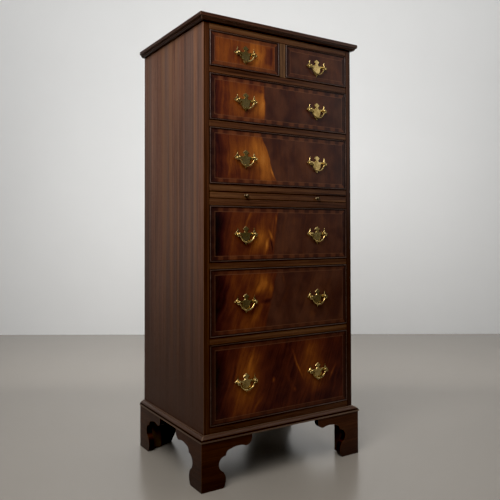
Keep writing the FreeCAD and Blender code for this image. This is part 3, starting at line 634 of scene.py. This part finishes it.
@dataclass(frozen=True)
class FlameVeneer:
    """Flame mahogany inside a crossbanded border with a fine string line; sizes in metres."""

    band: float = 0.0165
    string: float = 0.0006
    block: float = 0.042
    block_tone: float = 0.28
    block_swing: Span = (-0.28, 0.6)
    warp: float = 0.022
    band_share: float = 0.55
    side_share: float = 0.8
    string_share: float = 0.55
    soot_and_shade: Colour = (0.005, 0.0032, 0.0032)
    umber: Colour = (0.022, 0.0050, 0.0044)
    string_colour: Colour = (0.190, 0.0800, 0.0360)
    side_dark: Colour = (0.019, 0.0068, 0.0052)
    band_dark: Colour = (0.026, 0.0080, 0.0056)
    band_light: Colour = (0.135, 0.0430, 0.0160)
    reflection_haze_dark: Colour = (0.026, 0.0115, 0.0085)
    reflection_haze_light: Colour = (0.072, 0.0290, 0.0155)
    streaks: tuple[tuple[float, float, float], ...] = (
        (0.0280, 0.05, 0.34),
        (0.0090, 0.16, 0.24),
        (0.0024, 0.09, 0.18),
        (0.0007, 0.03, 0.14),
    )
    stops: tuple[tuple[float, Colour], ...] = (
        (0.00, soot_and_shade),
        (0.18, umber),
        (0.38, (0.074, 0.0155, 0.0064)),
        (0.58, (0.164, 0.0420, 0.0078)),
        (0.78, (0.325, 0.0980, 0.0130)),
        (1.00, (0.540, 0.2000, 0.0380)),
    )

    ENDLESS = 1000.0

    def plume_glow(self, bench: Bench, plume: Plume, warped: Socket, middle: Vector) -> Socket:
        """Return how much one plume lightens each place on a front, given the front's middle."""
        place = (middle.x + plume.x * MM, 0.0, middle.z + plume.z * MM)
        size = (plume.across * MM, self.ENDLESS, plume.along * MM)
        patch = bench.local(warped, place, plume.lean, size)
        if plume.square:
            sides = bench.axes(patch)
            rim = bench.math("MAXIMUM", *(bench.math("ABSOLUTE", sides[letter]) for letter in "XZ"))
            return bench.fade(rim, edge=(1.15, 0.6), high=plume.glow)
        rim = bench.vector("LENGTH", patch)
        return bench.fade(rim, edge=(1.0, 0.0), high=plume.glow)

    def field_colour(self, bench: Bench, figure: Figure, middle: Vector) -> Socket:
        """Return the colour of the flame figure, with its painted lit and shaded parts and a painted
        reflection.

        Args:
            bench: the material under way.
            figure: the plumes of this front.
            middle: the middle of the front.

        Returns:
            The colour.
        """
        stir = bench.noise(bench.place, scale=16.0, detail=2.0).outputs[1]
        warped = bench.vector("MULTIPLY_ADD", stir, (self.warp, 0.0, self.warp), bench.place)
        warped = bench.vector("SUBTRACT", warped, (self.warp / 2, 0.0, self.warp / 2))
        parts = bench.axes(bench.vector("SUBTRACT", warped, tuple(middle)))
        # Painted light and shade: left of a slanting line the figure takes its lit level, right of it its
        # shaded level.
        line = bench.math("MULTIPLY_ADD", parts["Z"], figure.slant, parts["X"])
        line = bench.math("SUBTRACT", line, figure.split * MM)
        turn = (-figure.blur * MM, figure.blur * MM)
        clear = bench.fade(line, turn, low=1.0, high=0.0)
        levels = [bench.fade(line, turn, low=figure.light, high=figure.dark)]
        for plume in figure.plumes:
            glow = self.plume_glow(bench, plume, warped, middle)
            levels.append(bench.math("MULTIPLY", glow, clear) if plume.x < figure.split else glow)
        for width, length, depth in self.streaks:
            run = bench.local(warped, (0.0, 0.0, 0.0), figure.lean, (width, 1.0, length))
            levels.append(bench.swung(bench.noise(run, scale=1.0, detail=2.0).outputs[0], depth))
        colour = bench.ramp(bench.total(levels), self.stops)
        # Painted reflection: a clouded greyish veil over the dark part.
        cloud = bench.speckle(warped, scale=(17.0, 0.0, 12.0), detail=2.0)
        reflection_haze = bench.stain(self.reflection_haze_dark, self.reflection_haze_light, cloud, edge=(0.34, 0.66))
        return bench.stain(colour, reflection_haze, line, turn, most=0.68)

    def bordered(self, bench: Bench, inner: Socket, box: Box, blocks: float) -> Socket:
        """Return the front's colour with the crossband, the string line and a painted shadow, with grime,
        along its edge.

        Args:
            bench: the material under way.
            inner: the colour of the flame figure.
            box: the lowest and highest corner of the front.
            blocks: how strongly the blocks of the band stand out.

        Returns:
            The colour.
        """
        low, high = box
        parts = bench.axes(bench.place)
        middle = (low + high) / 2
        half = (high - low) / 2
        to_side = bench.math("SUBTRACT", half.x, bench.apart(parts["X"], middle.x))
        to_end = bench.math("SUBTRACT", half.z, bench.apart(parts["Z"], middle.z))
        inset = bench.math("MINIMUM", to_side, to_end)
        on_side = bench.math("LESS_THAN", to_side, to_end)
        level_run = bench.joined((parts["X"], parts["Z"], 0.0))
        upright_run = bench.joined((parts["Z"], parts["X"], 0.0))
        run = bench.blend(on_side, level_run, upright_run, kind="VECTOR")
        wander = bench.speckle(run, scale=(12.0, 0.0, 0.0), detail=1.0)
        along = bench.math("MULTIPLY_ADD", wander, self.block, bench.axes(run)["X"])
        wave = bench.math("SINE", bench.math("MULTIPLY", along, FULL_TURN / self.block))
        low_tone, high_tone = (self.block_tone + blocks * swing for swing in self.block_swing)
        stripe = bench.fade(wave, edge=(-0.7, 0.7), low=low_tone, high=high_tone)
        fibre = bench.speckle(run, scale=(900.0, 40.0, 0.0), detail=2.0)
        tone = bench.math("ADD", stripe, bench.swung(fibre, depth=0.5))
        band = bench.blend(tone, self.band_dark, self.band_light)
        band = bench.blend(self.band_share, inner, band)
        band = bench.blend(bench.math("MULTIPLY", on_side, self.side_share), band, self.side_dark)
        colour = bench.blend(bench.math("LESS_THAN", inset, self.band), inner, band)
        on_string = bench.math("LESS_THAN", bench.apart(inset, self.band), self.string)
        shown = bench.math("MULTIPLY", on_string, self.string_share)
        colour = bench.blend(shown, colour, self.string_colour)
        # Painted shadow, with grime, along the front's edge beside the beads.
        return bench.stain(colour, self.soot_and_shade, inset, edge=(7 * MM, 4 * MM), most=0.9)

    def materials(self, name: str, figure: Figure, box: Box) -> list[Material]:
        """Return the material of a drawer front and that of its edges.

        Args:
            name: the drawer.
            figure: its flame figure.
            box: the lowest and highest corner of the front.

        Returns:
            The two materials.
        """
        low, high = box
        bench = Bench(f"flame_veneer_{name}")
        plain = POLISHED.finish(bench, bench.along(Grain.WIDE), 0.0)
        inner = self.field_colour(bench, figure, (low + high) / 2)
        colour = self.bordered(bench, inner, box, figure.blocks)
        pores = bench.speckle(bench.place, scale=(1300.0, 1.0, 160.0), detail=1.0)
        colour = bench.stain(colour, self.umber, pores, edge=(0.56, 0.72), most=0.4)
        # Painted shade, with grime, in the front's corners by the beads.
        corners = bench.openness(reach=0.012)
        colour = bench.stain(colour, self.soot_and_shade, corners, edge=(0.85, 0.3), most=0.7)
        on_face = bench.math("LESS_THAN", bench.axes(bench.place)["Y"], low.y + FACE_DEPTH)
        bench.set(Base_Color=bench.blend(on_face, plain, colour), Coat_Weight=0.05, Coat_Roughness=0.16)
        return [bench.material, POLISHED.material(Grain.WIDE, f"{name}_front", Wear.RUBBED)]


@dataclass(frozen=True)
class Brass:
    """Old lacquered brass with a brown skin in its corners."""

    name: str
    bright: Colour
    dull: Colour
    skin: Colour
    roughness: float

    SPECK_DEPTH = 0.4
    SKIN_BLUR = 0.25

    def material(self) -> Material:
        """Return the metal's material."""
        bench = Bench(self.name)
        cloud = bench.noise(bench.place, scale=55.0, detail=3.0).outputs[0]
        speck = bench.noise(bench.place, scale=900.0, detail=2.0).outputs[0]
        colour = bench.stain(self.bright, self.dull, cloud, edge=(0.38, 0.66))
        colour = bench.stain(colour, self.skin, speck, edge=(0.62, 0.74), most=0.5)
        closed = bench.fade(bench.openness(reach=0.005), edge=(0.85, 0.2), high=0.85)
        colour = bench.blend(closed, colour, self.skin)
        arris = bench.node("ShaderNodeNewGeometry").outputs["Pointiness"]
        blur = bench.swung(cloud, depth=0.2, middle=self.roughness)
        bench.set(
            Base_Color=bench.stain(colour, self.bright, arris, edge=(0.52, 0.6), most=0.6),
            Metallic=1.0,
            Roughness=bench.math("MULTIPLY_ADD", closed, self.SKIN_BLUR, blur),
        )
        height = bench.math("MULTIPLY_ADD", speck, self.SPECK_DEPTH, cloud)
        bench.relief(height, strength=0.25, depth=0.12 * MM)
        return bench.material


ANTIQUE_BRASS = Brass(
    "antique_brass",
    bright=(0.62, 0.45, 0.18),
    dull=(0.36, 0.245, 0.08),
    skin=(0.06, 0.040, 0.015),
    roughness=0.24,
)
DARK_BRONZE = Brass(
    "dark_bronze",
    bright=(0.17, 0.120, 0.065),
    dull=(0.07, 0.048, 0.026),
    skin=(0.020, 0.013, 0.008),
    roughness=0.34,
)


def dress(node: str, materials: Sequence[Material], edge: Edge = Edge.SOFT) -> None:
    """Give a CAD node its finish and soft worn edges.

    Args:
        node: the CAD node's name.
        materials: the face's material, and the edges' where they have one.
        edge: how soft the edges are.
    """
    piece = frame["nodes"][node]
    piece.data.materials.clear()
    for material in materials:
        piece.data.materials.append(material)
    if edge is not Edge.CRISP:
        weld = piece.modifiers.new("joined_faces", "WELD")
        weld.merge_threshold = WELD_GAP
        soft = piece.modifiers.new("soft_edges", "BEVEL")
        soft.width = edge.value
        soft.segments = BEVEL_STEPS
        soft.limit_method = "ANGLE"
        soft.angle_limit = math.radians(BEVEL_ANGLE)
        soft.use_clamp_overlap = True
        soft.loop_slide = False
        soft.material = len(materials) - 1
    LOG.info("dressed %s", node)


def add_piece(name: str, mesh: Mesh, material: Material, crease: float) -> bpy.types.Object:
    """Turn a bmesh into an object at the origin.

    Args:
        name: the piece.
        mesh: its shape, in the frame's place.
        material: its finish.
        crease: the angle in degrees above which an edge stays crisp.

    Returns:
        The new object.
    """
    bmesh.ops.recalc_face_normals(mesh, faces=mesh.faces)
    data = bpy.data.meshes.new(name)
    mesh.to_mesh(data)
    mesh.free()
    data.materials.append(material)
    data.shade_smooth()
    data.set_sharp_from_angle(angle=math.radians(crease))
    piece = bpy.data.objects.new(name, data)
    bpy.context.scene.collection.objects.link(piece)
    return piece


def seat(piece: bpy.types.Object, body: str, node: str) -> None:
    """Let a brass piece ride with a body in the place of a CAD node."""
    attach(piece, body)
    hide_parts(node)
    LOG.info("modelled %s", piece.name)


def verts_of(geometry: Iterable[object]) -> list[Vert]:
    """Return the vertices among the parts of a mesh."""
    return [item for item in geometry if isinstance(item, Vert)]


def mirror_half(mesh: Mesh) -> None:
    """Add the other half of a shape across X and join both."""
    half = mesh.verts[:] + mesh.edges[:] + mesh.faces[:]
    bmesh.ops.mirror(mesh, geom=half, axis="X", merge_dist=SAME_POINT)
    bmesh.ops.remove_doubles(mesh, verts=mesh.verts, dist=SAME_POINT)


@dataclass
class Handle:
    """One swan-neck handle: shaped back plate, two turned posts, nuts and a swinging bail."""

    pivot: Vector
    face_y: float
    plate_width: float = 84 * MM
    plate_edge: float = 1.1 * MM
    plate_bevel: float = 0.6 * MM
    plate_rise: float = 0.9 * MM
    post_spacing: float = 54 * MM
    pin_inset: float = 3 * MM
    pin_gap: float = 0.08 * MM
    head_radius: float = 3.8 * MM
    wire_radius: float = 2.0 * MM
    bow_swell: float = 2.6 * MM
    bow_radius: float = 25.5 * MM
    bow_drop: float = 25.5 * MM
    neck_bend: float = 3.4 * MM
    neck_reverse: float = 5 * MM
    board: float = 20 * MM
    nut_radius: float = 5 * MM
    nut_height: float = 3.5 * MM
    nut_bevel: float = 0.5 * MM

    ARC_STEPS = 5
    BOW_STEPS = 14
    NECK_STEPS = 5
    BEND_STEPS = 6
    WIRE_FACETS = 16
    POST_FACETS = 24
    NUT_SIDES = 6

    # Half the plate's outline from foot to crown in shares of its width: across, up, bulge to the next.
    PLATE_SIDE = (
        (0.0, -0.415, -0.09), (0.05, -0.32, 0.09), (0.12, -0.265, 0.09), (0.165, -0.075, -0.2),
        (0.24, -0.035, 0.28), (0.435, -0.035, 0.0), (0.5, 0.0, -0.09), (0.39, 0.085, -0.08),
        (0.352, 0.225, -0.03), (0.31, 0.05, 0.0), (0.175, 0.04, -0.2), (0.055, 0.09, -0.15),
        (0.135, 0.165, 0.04), (0.0, 0.275, 0.0),
    )
    # Half a post's section in millimetres: radius, distance behind the drawer's face.
    POST_SIDE = (
        (0.0, 25.5), (1.9, 25.5), (1.9, -1.9), (4.2, -1.9), (4.4, -2.3), (4.2, -2.8), (3.4, -3.1),
        (2.6, -3.6), (2.4, -4.4), (2.8, -5.1), (3.4, -6.2), (3.75, -7.4), (3.8, -8.0), (3.65, -9.1),
        (3.25, -10.1), (2.55, -11.0), (1.4, -11.6), (0.0, -11.8),
    )

    def move(self, mesh: Mesh) -> Mesh:
        """Carry a shape from the handle's own axes to its place on the drawer face."""
        bmesh.ops.translate(mesh, verts=mesh.verts, vec=(self.pivot.x, self.face_y, self.pivot.z))
        return mesh

    def plate(self) -> Mesh:
        """Return the back plate: half its outline by turns, mirrored, filled, raised and chamfered."""
        mesh = bmesh.new()
        width = self.plate_width
        points = [(Vector((x * width, 0, z * width)), bulge) for x, z, bulge in self.PLATE_SIDE]
        tip = mesh.verts.new(points[0][0])
        for (start, bulge), (end, _) in zip(points, points[1:]):
            tip = self.run_to(mesh, tip, start, end, bulge)
        mirror_half(mesh)
        sheet = bmesh.ops.contextual_create(mesh, geom=mesh.edges[:])["faces"]
        raised = bmesh.ops.extrude_face_region(mesh, geom=sheet)["geom"]
        front = [item for item in raised if isinstance(item, bmesh.types.BMFace)]
        bmesh.ops.translate(mesh, verts=verts_of(raised), vec=(0, -self.plate_edge, 0))
        bmesh.ops.recalc_face_normals(mesh, faces=mesh.faces)
        bmesh.ops.inset_region(
            mesh, faces=front, thickness=self.plate_bevel, depth=self.plate_rise, use_even_offset=True
        )
        return self.move(mesh)

    def run_to(self, mesh: Mesh, tip: Vert, start: Vector, end: Vector, bulge: float) -> Vert:
        """Carry an outline on from one corner to the next.

        Args:
            mesh: the outline so far.
            tip: its last vertex.
            start: the corner it stands at.
            end: the next corner.
            bulge: the arc's height as a share of its chord, to the right of the way.

        Returns:
            The new last vertex.
        """
        chord = end - start
        if not bulge:
            grown = bmesh.ops.extrude_vert_indiv(mesh, verts=[tip])["verts"]
            bmesh.ops.translate(mesh, verts=grown, vec=chord)
            return grown[0]
        side = math.copysign(1, bulge)
        angle = 4 * math.atan(2 * abs(bulge))
        radius = chord.length / (2 * math.sin(angle / 2))
        right = Vector((chord.z, 0, -chord.x)).normalized() * side
        centre = (start + end) / 2 - right * radius * math.cos(angle / 2)
        turned = bmesh.ops.spin(
            mesh, geom=[tip], cent=centre, axis=(0, -side, 0), angle=angle, steps=self.ARC_STEPS,
            use_duplicate=False,
        )["geom_last"]
        return verts_of(turned)[0]

    def posts(self) -> Mesh:
        """Return both posts, turned with collar, ring and ball, with their bolt ends."""
        mesh = bmesh.new()
        for x in (-self.post_spacing / 2, self.post_spacing / 2):
            chain = [mesh.verts.new((x, self.POST_SIDE[0][1] * MM, 0))]
            for (r_1, y_1), (r_2, y_2) in zip(self.POST_SIDE, self.POST_SIDE[1:]):
                step = Vector((r_2 - r_1, y_2 - y_1, 0)) * MM
                grown = bmesh.ops.extrude_vert_indiv(mesh, verts=[chain[-1]])
                bmesh.ops.translate(mesh, verts=grown["verts"], vec=step)
                chain += grown["edges"] + grown["verts"]
            bmesh.ops.spin(
                mesh, geom=chain, cent=(x, 0, 0), axis=(0, 1, 0), angle=FULL_TURN, steps=self.POST_FACETS,
                use_merge=True,
            )
            bmesh.ops.remove_doubles(mesh, verts=mesh.verts, dist=SAME_POINT)
        return self.move(mesh)

    def nuts(self) -> Mesh:
        """Return the two chamfered nuts behind the drawer front."""
        mesh = bmesh.new()
        for x in (-self.post_spacing / 2, self.post_spacing / 2):
            place = (x, self.board + self.nut_height / 2, 0)
            matrix = Matrix.Translation(place) @ Matrix.Rotation(QUARTER_TURN, 4, "X")
            bmesh.ops.create_cone(
                mesh, cap_ends=True, segments=self.NUT_SIDES, radius1=self.nut_radius,
                radius2=self.nut_radius, depth=self.nut_height, matrix=matrix,
            )
        bmesh.ops.bevel(
            mesh, geom=mesh.edges[:], offset=self.nut_bevel, affect="EDGES", segments=BEVEL_STEPS,
            profile=0.5, material=-1,
        )
        return self.move(mesh)

    def bail(self) -> Mesh:
        """Return the bail: half a swelling bow, its reversed neck and pin by turns, then mirrored."""
        mesh = bmesh.new()
        low = Vector((0, 0, -self.bow_drop))
        bow = low + Vector((0, 0, self.bow_radius))
        shoulder = Vector((self.post_spacing / 2 + self.head_radius + self.pin_gap, 0, 0))
        bend = shoulder - Vector((0, 0, self.neck_bend))
        neck = self.neck_centre(bow, bend)
        thinner = (self.wire_radius / self.bow_swell) ** (1 / self.BOW_STEPS)
        turns = (
            (bow, (low - bow).angle(neck - bow), -1, self.BOW_STEPS, thinner),
            (neck, (bow - neck).angle(bend - neck), 1, self.NECK_STEPS, 1.0),
            (bend, (neck - bend).angle(shoulder - bend), -1, self.BEND_STEPS, 1.0),
        )
        matrix = Matrix.Translation(low) @ Matrix.Rotation(QUARTER_TURN, 4, "Y")
        size = {"segments": self.WIRE_FACETS, "radius": self.bow_swell}
        ring = bmesh.ops.create_circle(mesh, **size, matrix=matrix)["verts"]
        for centre, angle, way, steps, taper in turns:
            for _ in range(steps):
                ring = self.turn_ring(mesh, ring, centre, angle / steps, way, taper)
        ring = verts_of(bmesh.ops.extrude_edge_only(mesh, edges=self.ring_edges(ring))["geom"])
        pin_end = self.post_spacing / 2 - self.pin_inset
        bmesh.ops.translate(mesh, verts=ring, vec=(pin_end - shoulder.x, 0, 0))
        bmesh.ops.contextual_create(mesh, geom=self.ring_edges(ring))
        mirror_half(mesh)
        bmesh.ops.translate(mesh, verts=mesh.verts, vec=self.pivot)
        return mesh

    def neck_centre(self, bow: Vector, bend: Vector) -> Vector:
        """Return the centre of the reversed neck, which touches both the bow and the bend."""
        far = self.bow_radius + self.neck_reverse
        near = self.neck_bend + self.neck_reverse
        span = bend - bow
        along = (far ** 2 - near ** 2 + span.length_squared) / (2 * span.length)
        across = math.sqrt(far ** 2 - along ** 2)
        unit = span.normalized()
        return bow + unit * along + Vector((unit.z, 0, -unit.x)) * across

    @staticmethod
    def ring_edges(ring: Sequence[Vert]) -> list[bmesh.types.BMEdge]:
        """Return the edges that lie wholly in a ring of vertices."""
        members = set(ring)
        edges = {edge for vert in ring for edge in vert.link_edges}
        return sorted((e for e in edges if members.issuperset(e.verts)), key=lambda e: e.index)

    def turn_ring(
        self, mesh: Mesh, ring: Sequence[Vert], centre: Vector, angle: float, way: int, taper: float
    ) -> list[Vert]:
        """Carry a ring of the bail a step round a centre and change its size.

        Args:
            mesh: the bail so far.
            ring: its last ring.
            centre: the centre of the turn.
            angle: the size of the step.
            way: the sense of the turn about Y.
            taper: the new ring's size as a share of the last.

        Returns:
            The new ring.
        """
        mesh.edges.index_update()
        turned = bmesh.ops.spin(
            mesh, geom=list(ring) + self.ring_edges(ring), cent=centre, axis=(0, way, 0), angle=angle,
            steps=1, use_duplicate=False,
        )["geom_last"]
        new = verts_of(turned)
        middle = sum((vert.co for vert in new), Vector()) / len(new)
        bmesh.ops.scale(mesh, vec=(taper,) * 3, space=Matrix.Translation(-middle), verts=new)
        return new


@dataclass
class Drawer:
    """One drawer: veneered front, cockbeads, dovetailed box and its handles."""

    name: str
    bails: tuple[str, ...]

    def dress(self, veneer: FlameVeneer) -> None:
        """Give the wooden nodes their finish."""
        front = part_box(f"{self.name}_front")
        dress(f"{self.name}_front", veneer.materials(self.name, FIGURES[self.name], front), Edge.FINE)
        bead = BEAD.material(Grain.WIDE, f"{self.name}_bead", Wear.WHOLE)
        dress(f"{self.name}_cockbead", [bead], Edge.CRISP)
        dress(f"{self.name}_box", INNER.materials(Grain.DEEP, f"{self.name}_box"), Edge.SMALL)

    def build(self, brass: Material) -> None:
        """Model the handles and seat them on the front."""
        face_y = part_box(f"{self.name}_front")[0].y
        pivots = {joint["child"]: Vector(joint["pos_m"]) for joint in frame["joints"] if "pos_m" in joint}
        handles = [Handle(pivots[bail], face_y) for bail in self.bails]
        makers = (
            ("plate", Handle.plate, FLAT_CREASE),
            ("posts", Handle.posts, TURNED_CREASE),
            ("nuts", Handle.nuts, FLAT_CREASE),
        )
        for number, handle in enumerate(handles, start=1):
            for label, maker, crease in makers:
                piece = add_piece(f"{self.name}_{label}_{number}", maker(handle), brass, crease)
                seat(piece, self.name, f"{self.name}_fittings")
        for bail, handle in zip(self.bails, handles):
            seat(add_piece(f"{bail}_swan_neck", handle.bail(), brass, WIRE_CREASE), bail, bail)


@dataclass
class Carcass:
    """The case: sides, rails, mouldings, feet and the hidden boards."""

    quirk_height: float = 6.5 * MM
    sides: tuple[str, ...] = ("side_panel_left", "side_panel_right")
    mouldings: tuple[tuple[str, Timber], ...] = (
        ("cornice_moulding", DARK),
        ("base_moulding", MOULDED),
    )
    boards: tuple[tuple[str, Timber, Grain], ...] = (
        ("top_board", POLISHED, Grain.WIDE),
        ("drawer_rails", RAIL, Grain.WIDE),
        ("short_drawer_divider", DIVIDER, Grain.TALL),
        ("back_panel", INNER, Grain.TALL),
        ("bottom_board", AGED, Grain.WIDE),
        ("middle_drawer_guide", INNER, Grain.DEEP),
        ("drawer_runners", INNER, Grain.DEEP),
        ("top_kickers", INNER, Grain.DEEP),
        ("drawer_stops", INNER, Grain.WIDE),
        ("foot_glue_blocks", AGED, Grain.TALL),
    )

    def dress(self) -> None:
        """Give every board of the case its finish."""
        for end, side in product(Mitre, ("left", "right")):
            node = f"{end.value}_{side}_foot"
            dress(node, REDDISH.solid(end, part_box(node), node), Edge.CRISP)
        # Painted shade, with grime, darkens rails, divider and side facings beside the beads, and the base
        # moulding at its quirk.
        beads = [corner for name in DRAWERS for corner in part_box(f"{name}_cockbead")]
        uprights = sorted({("X", corner.x) for corner in beads})
        seams = {
            "drawer_rails": sorted({("Z", corner.z) for corner in beads}),
            "short_drawer_divider": uprights,
            "base_moulding": [("Z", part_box("base_moulding")[0].z + self.quirk_height)],
        }
        for node, timber in self.mouldings:
            finish = timber.solid(Mitre.FRONT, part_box(node), node, seams.get(node, ()))
            dress(node, finish, Edge.CRISP)
        for node in self.sides:
            dress(node, STRIPED.lipped(STILE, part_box(node), node, uprights))
        for node, timber, run in self.boards:
            dress(node, timber.materials(run, node, seams.get(node, ())))


@dataclass
class BrushingSlide:
    """The pull-out board above the third long drawer and its two knobs."""

    board: str = "brushing_slide"
    knobs: str = "brushing_slide_knobs"

    def dress(self) -> None:
        """Give the board and the knobs their finish."""
        # Painted shade, with grime, darkens the slide along its top and bottom.
        seams = [("Z", corner.z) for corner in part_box(self.board)]
        dress(self.board, RAIL.materials(Grain.WIDE, self.board, seams))
        dress(self.knobs, [DARK_BRONZE.material()], Edge.CRISP)


@dataclass(frozen=True)
class SoftLight:
    """A soft studio light: place, aim, size in metres and strength in watts."""

    name: str
    place: Point
    aim: Point
    width: float
    height: float
    watts: float

    def build(self) -> None:
        """Hang the light."""
        lamp = bpy.data.lights.new(self.name, "AREA")
        lamp.shape = "RECTANGLE"
        lamp.size = self.width
        lamp.size_y = self.height
        lamp.energy = self.watts
        hung = bpy.data.objects.new(self.name, lamp)
        hung.location = self.place
        way = Vector(self.aim) - Vector(self.place)
        hung.rotation_euler = way.to_track_quat("-Z", "Y").to_euler()
        hung.visible_camera = False
        bpy.context.scene.collection.objects.link(hung)


@dataclass
class Studio:
    """A plain pale room: floor, wall, soft lights and the camera."""

    eye: Point = (-1.0781, -1.7305, 0.7366)
    yaw: float = math.radians(32.212)
    pitch: float = math.radians(0.98)
    roll: float = math.radians(-0.13)
    lens: float = 42.785
    sensor: float = 36.0
    shift_y: float = -0.0545
    wall_distance: float = 4.33
    sheet_size: float = 9.0
    floor_colour: Colour = (0.290, 0.258, 0.218)
    wall_colour: Colour = (0.80, 0.80, 0.79)
    cloud_light: float = 1.04
    sky: Colour = (0.93, 0.97, 1.0)
    sky_strength: float = 0.03
    black_point: float = 0.0035
    lights: tuple[SoftLight, ...] = (
        SoftLight("wall_wash", (0.43, 0.66, 3.3), (1.23, 1.93, 0.8), 6.0, 0.8, 40.0),
        SoftLight("wall_fill", (0.388, 0.596, 0.95), (1.23, 1.93, 0.95), 3.2, 1.0, 15.0),
        SoftLight("overhead", (-0.1, -0.3, 2.7), (0.0, 0.0, 0.0), 1.4, 1.4, 12.0),
        SoftLight("left_front", (-1.15, -1.0, 2.0), (0.0, 0.0, 1.3), 1.2, 1.2, 40.0),
        SoftLight("right_window", (3.3, -3.0, 2.0), (0.2, 0.0, 1.0), 1.6, 2.0, 14.0),
    )

    def sheet(self, name: str, matrix: Matrix, colour: Colour, roughness: float, shine: float) -> None:
        """Lay a plain, faintly clouded sheet of the room at a place and turn."""
        mesh = bmesh.new()
        bmesh.ops.create_grid(mesh, x_segments=1, y_segments=1, size=self.sheet_size, matrix=matrix)
        bench = Bench(f"{name}_paint")
        cloud = bench.noise(bench.place, scale=4.0, detail=3.0).outputs[0]
        pale = tuple(min(part * self.cloud_light, 1.0) for part in colour)
        paint = bench.blend(cloud, colour, pale)
        bench.set(Base_Color=paint, Roughness=roughness, Specular_IOR_Level=shine)
        add_piece(name, mesh, bench.material, FLAT_CREASE)

    def build(self) -> None:
        """Make the room, the lights and the camera."""
        facing = Matrix.Rotation(-self.yaw, 4, "Z")
        wall_foot = Vector((self.eye[0], self.eye[1], 0)) + facing @ Vector((0, self.wall_distance, 0))
        upright = facing @ Matrix.Rotation(QUARTER_TURN, 4, "X")
        wall = Matrix.Translation(wall_foot) @ upright
        self.sheet("studio_floor", Matrix(), self.floor_colour, roughness=0.24, shine=0.85)
        self.sheet("studio_wall", wall, self.wall_colour, roughness=0.7, shine=0.3)
        for light in self.lights:
            light.build()
        self.paint_sky()
        self.set_camera(facing)

    def paint_sky(self) -> None:
        """Give the room its dim even light and the picture its black point."""
        world = bpy.data.worlds.new("studio_air")
        world.use_nodes = True
        glow = next(n for n in world.node_tree.nodes if n.type == "BACKGROUND")
        glow.inputs[0].default_value = (*self.sky, 1.0)
        glow.inputs[1].default_value = self.sky_strength
        bpy.context.scene.world = world
        print_look = bpy.context.scene.view_settings
        print_look.view_transform = "Standard"
        print_look.use_curve_mapping = True
        print_look.curve_mapping.black_level = (self.black_point,) * 3

    def set_camera(self, facing: Matrix) -> None:
        """Set the camera at the photograph's eye, from its turn to the wall."""
        lens = bpy.data.cameras.new("eye")
        lens.lens = self.lens
        lens.sensor_width = self.sensor
        lens.shift_y = self.shift_y
        camera = bpy.data.objects.new("eye", lens)
        tilt = Matrix.Rotation(QUARTER_TURN + self.pitch, 4, "X") @ Matrix.Rotation(self.roll, 4, "Z")
        camera.matrix_world = Matrix.Translation(self.eye) @ facing @ tilt
        bpy.context.scene.collection.objects.link(camera)
        bpy.context.scene.camera = camera


def main() -> None:
    """Build and dress the chest and its studio."""
    logging.basicConfig(level=logging.INFO, format="%(name)s: %(message)s")
    Carcass().dress()
    BrushingSlide().dress()
    brass = ANTIQUE_BRASS.material()
    for name, endings in DRAWERS.items():
        drawer = Drawer(name, tuple(f"{name}_bail{ending}" for ending in endings))
        drawer.dress(FlameVeneer())
        drawer.build(brass)
    Studio().build()


if __name__ == "__main__":
    main()
